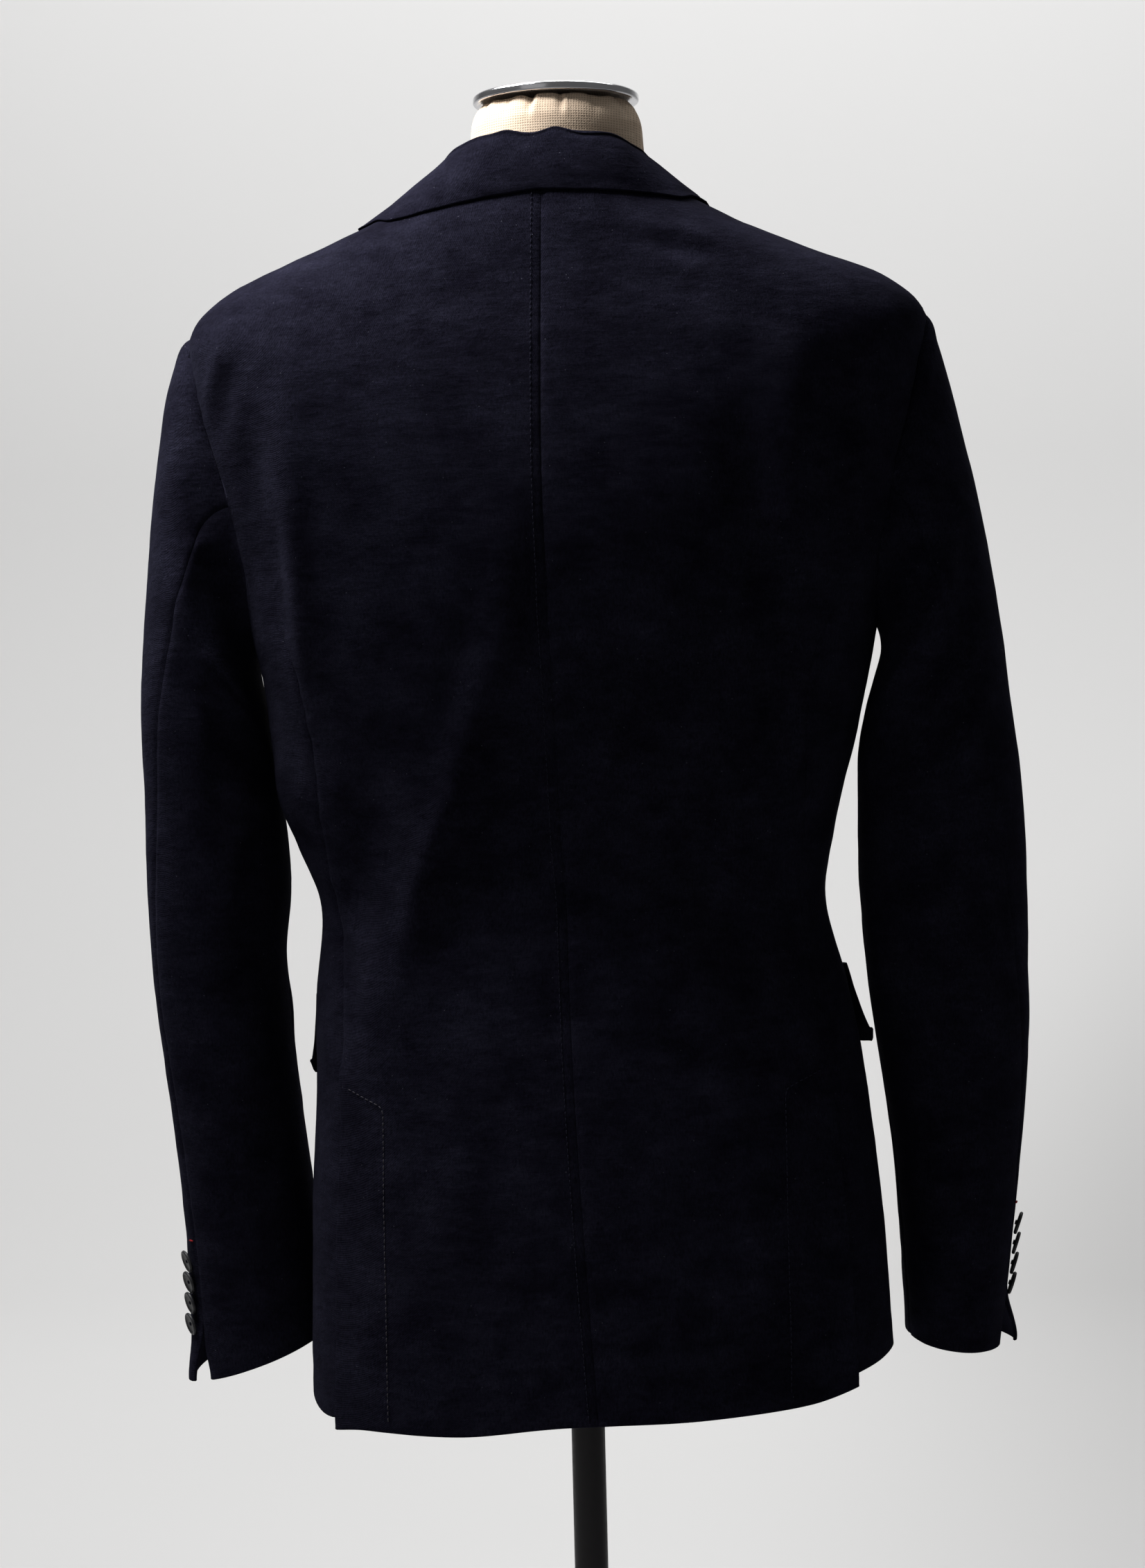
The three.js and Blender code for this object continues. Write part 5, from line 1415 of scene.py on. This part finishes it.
def sleeve_row(side, height):
    low, high = bisected(8.0, float(SLEEVE_ROWS), lambda row: SLEEVES[side]["outH"](row) > height, 30)
    return (low + high) / 2


def sleeve_spot(side, at, deg):
    """A place on a sleeve with the cuff's flare, and its outward direction."""
    out = outward(lambda d, a: sleeve_shape(side, a, d), np.array([deg]), np.array([at]), 1, 0.05)[0]
    if out[0] * side < 0:
        out = -out
    return sleeve_shape(side, np.array([at]), np.array([deg]))[0] + out * cuff_flare(side, at), out


def cuff_buttons(side, name):
    lowest, spacing, before, tilt = CUFF_BUTTONS[side]
    for i in range(4):
        at = sleeve_row(side, lowest + spacing * i)
        spot, out = sleeve_spot(side, at, float(SLEEVES[side]["seam"](at)) - before)
        level = Vector((-out[1], out[0], 0)).normalized()
        lean = Matrix.Rotation(math.radians(tilt), 3, level) @ Vector(out)
        number = 4 - i
        sewn_button(
            f"button_cuff_{name}_{number}", f"cuff_button_{name}_{number}", CUFF_BUTTON_RADIUS,
            spot + out * 0.6, tuple(lean),
        )


def bar_tack(side, name):
    """A short red bar of close stitches above the cuff buttons."""
    lowest, spacing, _, _ = CUFF_BUTTONS[side]
    at = sleeve_row(side, lowest + spacing * 3 + 13)
    seam = float(SLEEVES[side]["seam"](at))
    spots = [sleeve_spot(side, at, seam - d) for d in np.linspace(2, 10, 6)]
    path = np.array([p + o * 0.3 for p, o in spots])
    out = np.array([o for _, o in spots])
    stitches("bar_tack_" + name, path, out, length=1.5, gap=0.1, radius=0.6, material=RED_THREAD)


for side, name in SIDES:
    cuff_buttons(side, name)
    bar_tack(side, name)


# Studio
PAPER = (0.69, 0.686, 0.683)
# Painted shade where the light falls off: the direction along which the paper is painted darker, its
# darkest place and its full tone in metres, how dark
PAPER_PAINTED_SHADE = [
    ((0, 0, 1), -0.1, 1.0, 0.94),
    ((1, 0, 1), -0.95, 0.15, 0.70),
]
WORLD_STRENGTH = 0.12
# Lights: place, point it is aimed at and size in metres, power in watts
LIGHTS = {
    "key": ((0.52, 0.13, 1.93), (-0.05, 0.03, 1.15), (0.5, 0.5), 32),
    "fill": ((1.6, 3.2, 1.8), (0, 0, 0.9), (2.2, 2.2), 4),
    "sweep": ((0.1, -2.3, 5.0), (0.1, -5.2, 0.7), (5.0, 2.0), 276),
}


def paper_material():
    """Pale paper with a faint cloud, and painted shade that makes it darker near the floor and towards -x.
    """
    material, tree, shader = new_material("paper")
    cloud = texture(tree, "Noise", 1.2, detail=3.0)
    tone = ramp(tree, cloud, "Fac", [(0.3, tuple(c * 0.992 for c in PAPER)), (0.7, PAPER)])
    # each row multiplies painted shade into the paper's colour
    for direction, start, stop, darkest in PAPER_PAINTED_SHADE:
        along = tree.nodes.new("ShaderNodeVectorMath")
        along.operation = "DOT_PRODUCT"
        along.inputs[1].default_value = direction
        link(tree, tree.nodes["coords"], "Object", along, 0)
        reach = tree.nodes.new("ShaderNodeMapRange")
        reach.interpolation_type = "SMOOTHSTEP"
        put(reach, {"From Min": start, "From Max": stop, "To Min": darkest, "To Max": 1.0})
        link(tree, along, "Value", reach, "Value")
        tone = mix(tree, "MULTIPLY", tone, reach, "Result")
    link(tree, tone, "Color", shader, "Base Color")
    put(shader, {"Roughness": 0.95, "Specular IOR Level": 0.0})
    return material


def backdrop():
    """Floor and wall in one sheet, with a bend between them."""
    width, front, back, rise, bend = 14.0, 7.0, -5.7, 7.0, 1.6
    turns = np.linspace(0, math.pi / 2, 24)
    curve = [(back + bend - bend * math.sin(a), bend - bend * math.cos(a)) for a in turns]
    curve = [(front, 0.0)] + curve + [(back, rise)]
    points = np.array([(x, y, z) for y, z in curve for x in (-width / 2, width / 2)])
    faces = [(2 * i, 2 * i + 1, 2 * i + 3, 2 * i + 2) for i in range(len(curve) - 1)]
    new_object("backdrop", points * MM - (AXIS_X, 0.0, HEM_HEIGHT), faces, paper_material())


def add_world():
    world = bpy.data.worlds.new("world")
    world.use_nodes = True
    put(world.node_tree.nodes["Background"], {"Color": (1, 1, 1, 1), "Strength": WORLD_STRENGTH})
    scene.world = world


def add_light(name, spot, aim, size, power):
    data = bpy.data.lights.new(name, "AREA")
    data.shape, data.size, data.size_y = "RECTANGLE", size[0], size[1]
    data.energy = power
    lamp = bpy.data.objects.new(name, data)
    scene.collection.objects.link(lamp)
    lamp.location = spot
    lamp.rotation_euler = (Vector(aim) - Vector(spot)).to_track_quat("-Z", "Y").to_euler()


backdrop()
add_world()
for name, values in LIGHTS.items():
    add_light(name, *values)
scene.view_settings.view_transform = "Standard"
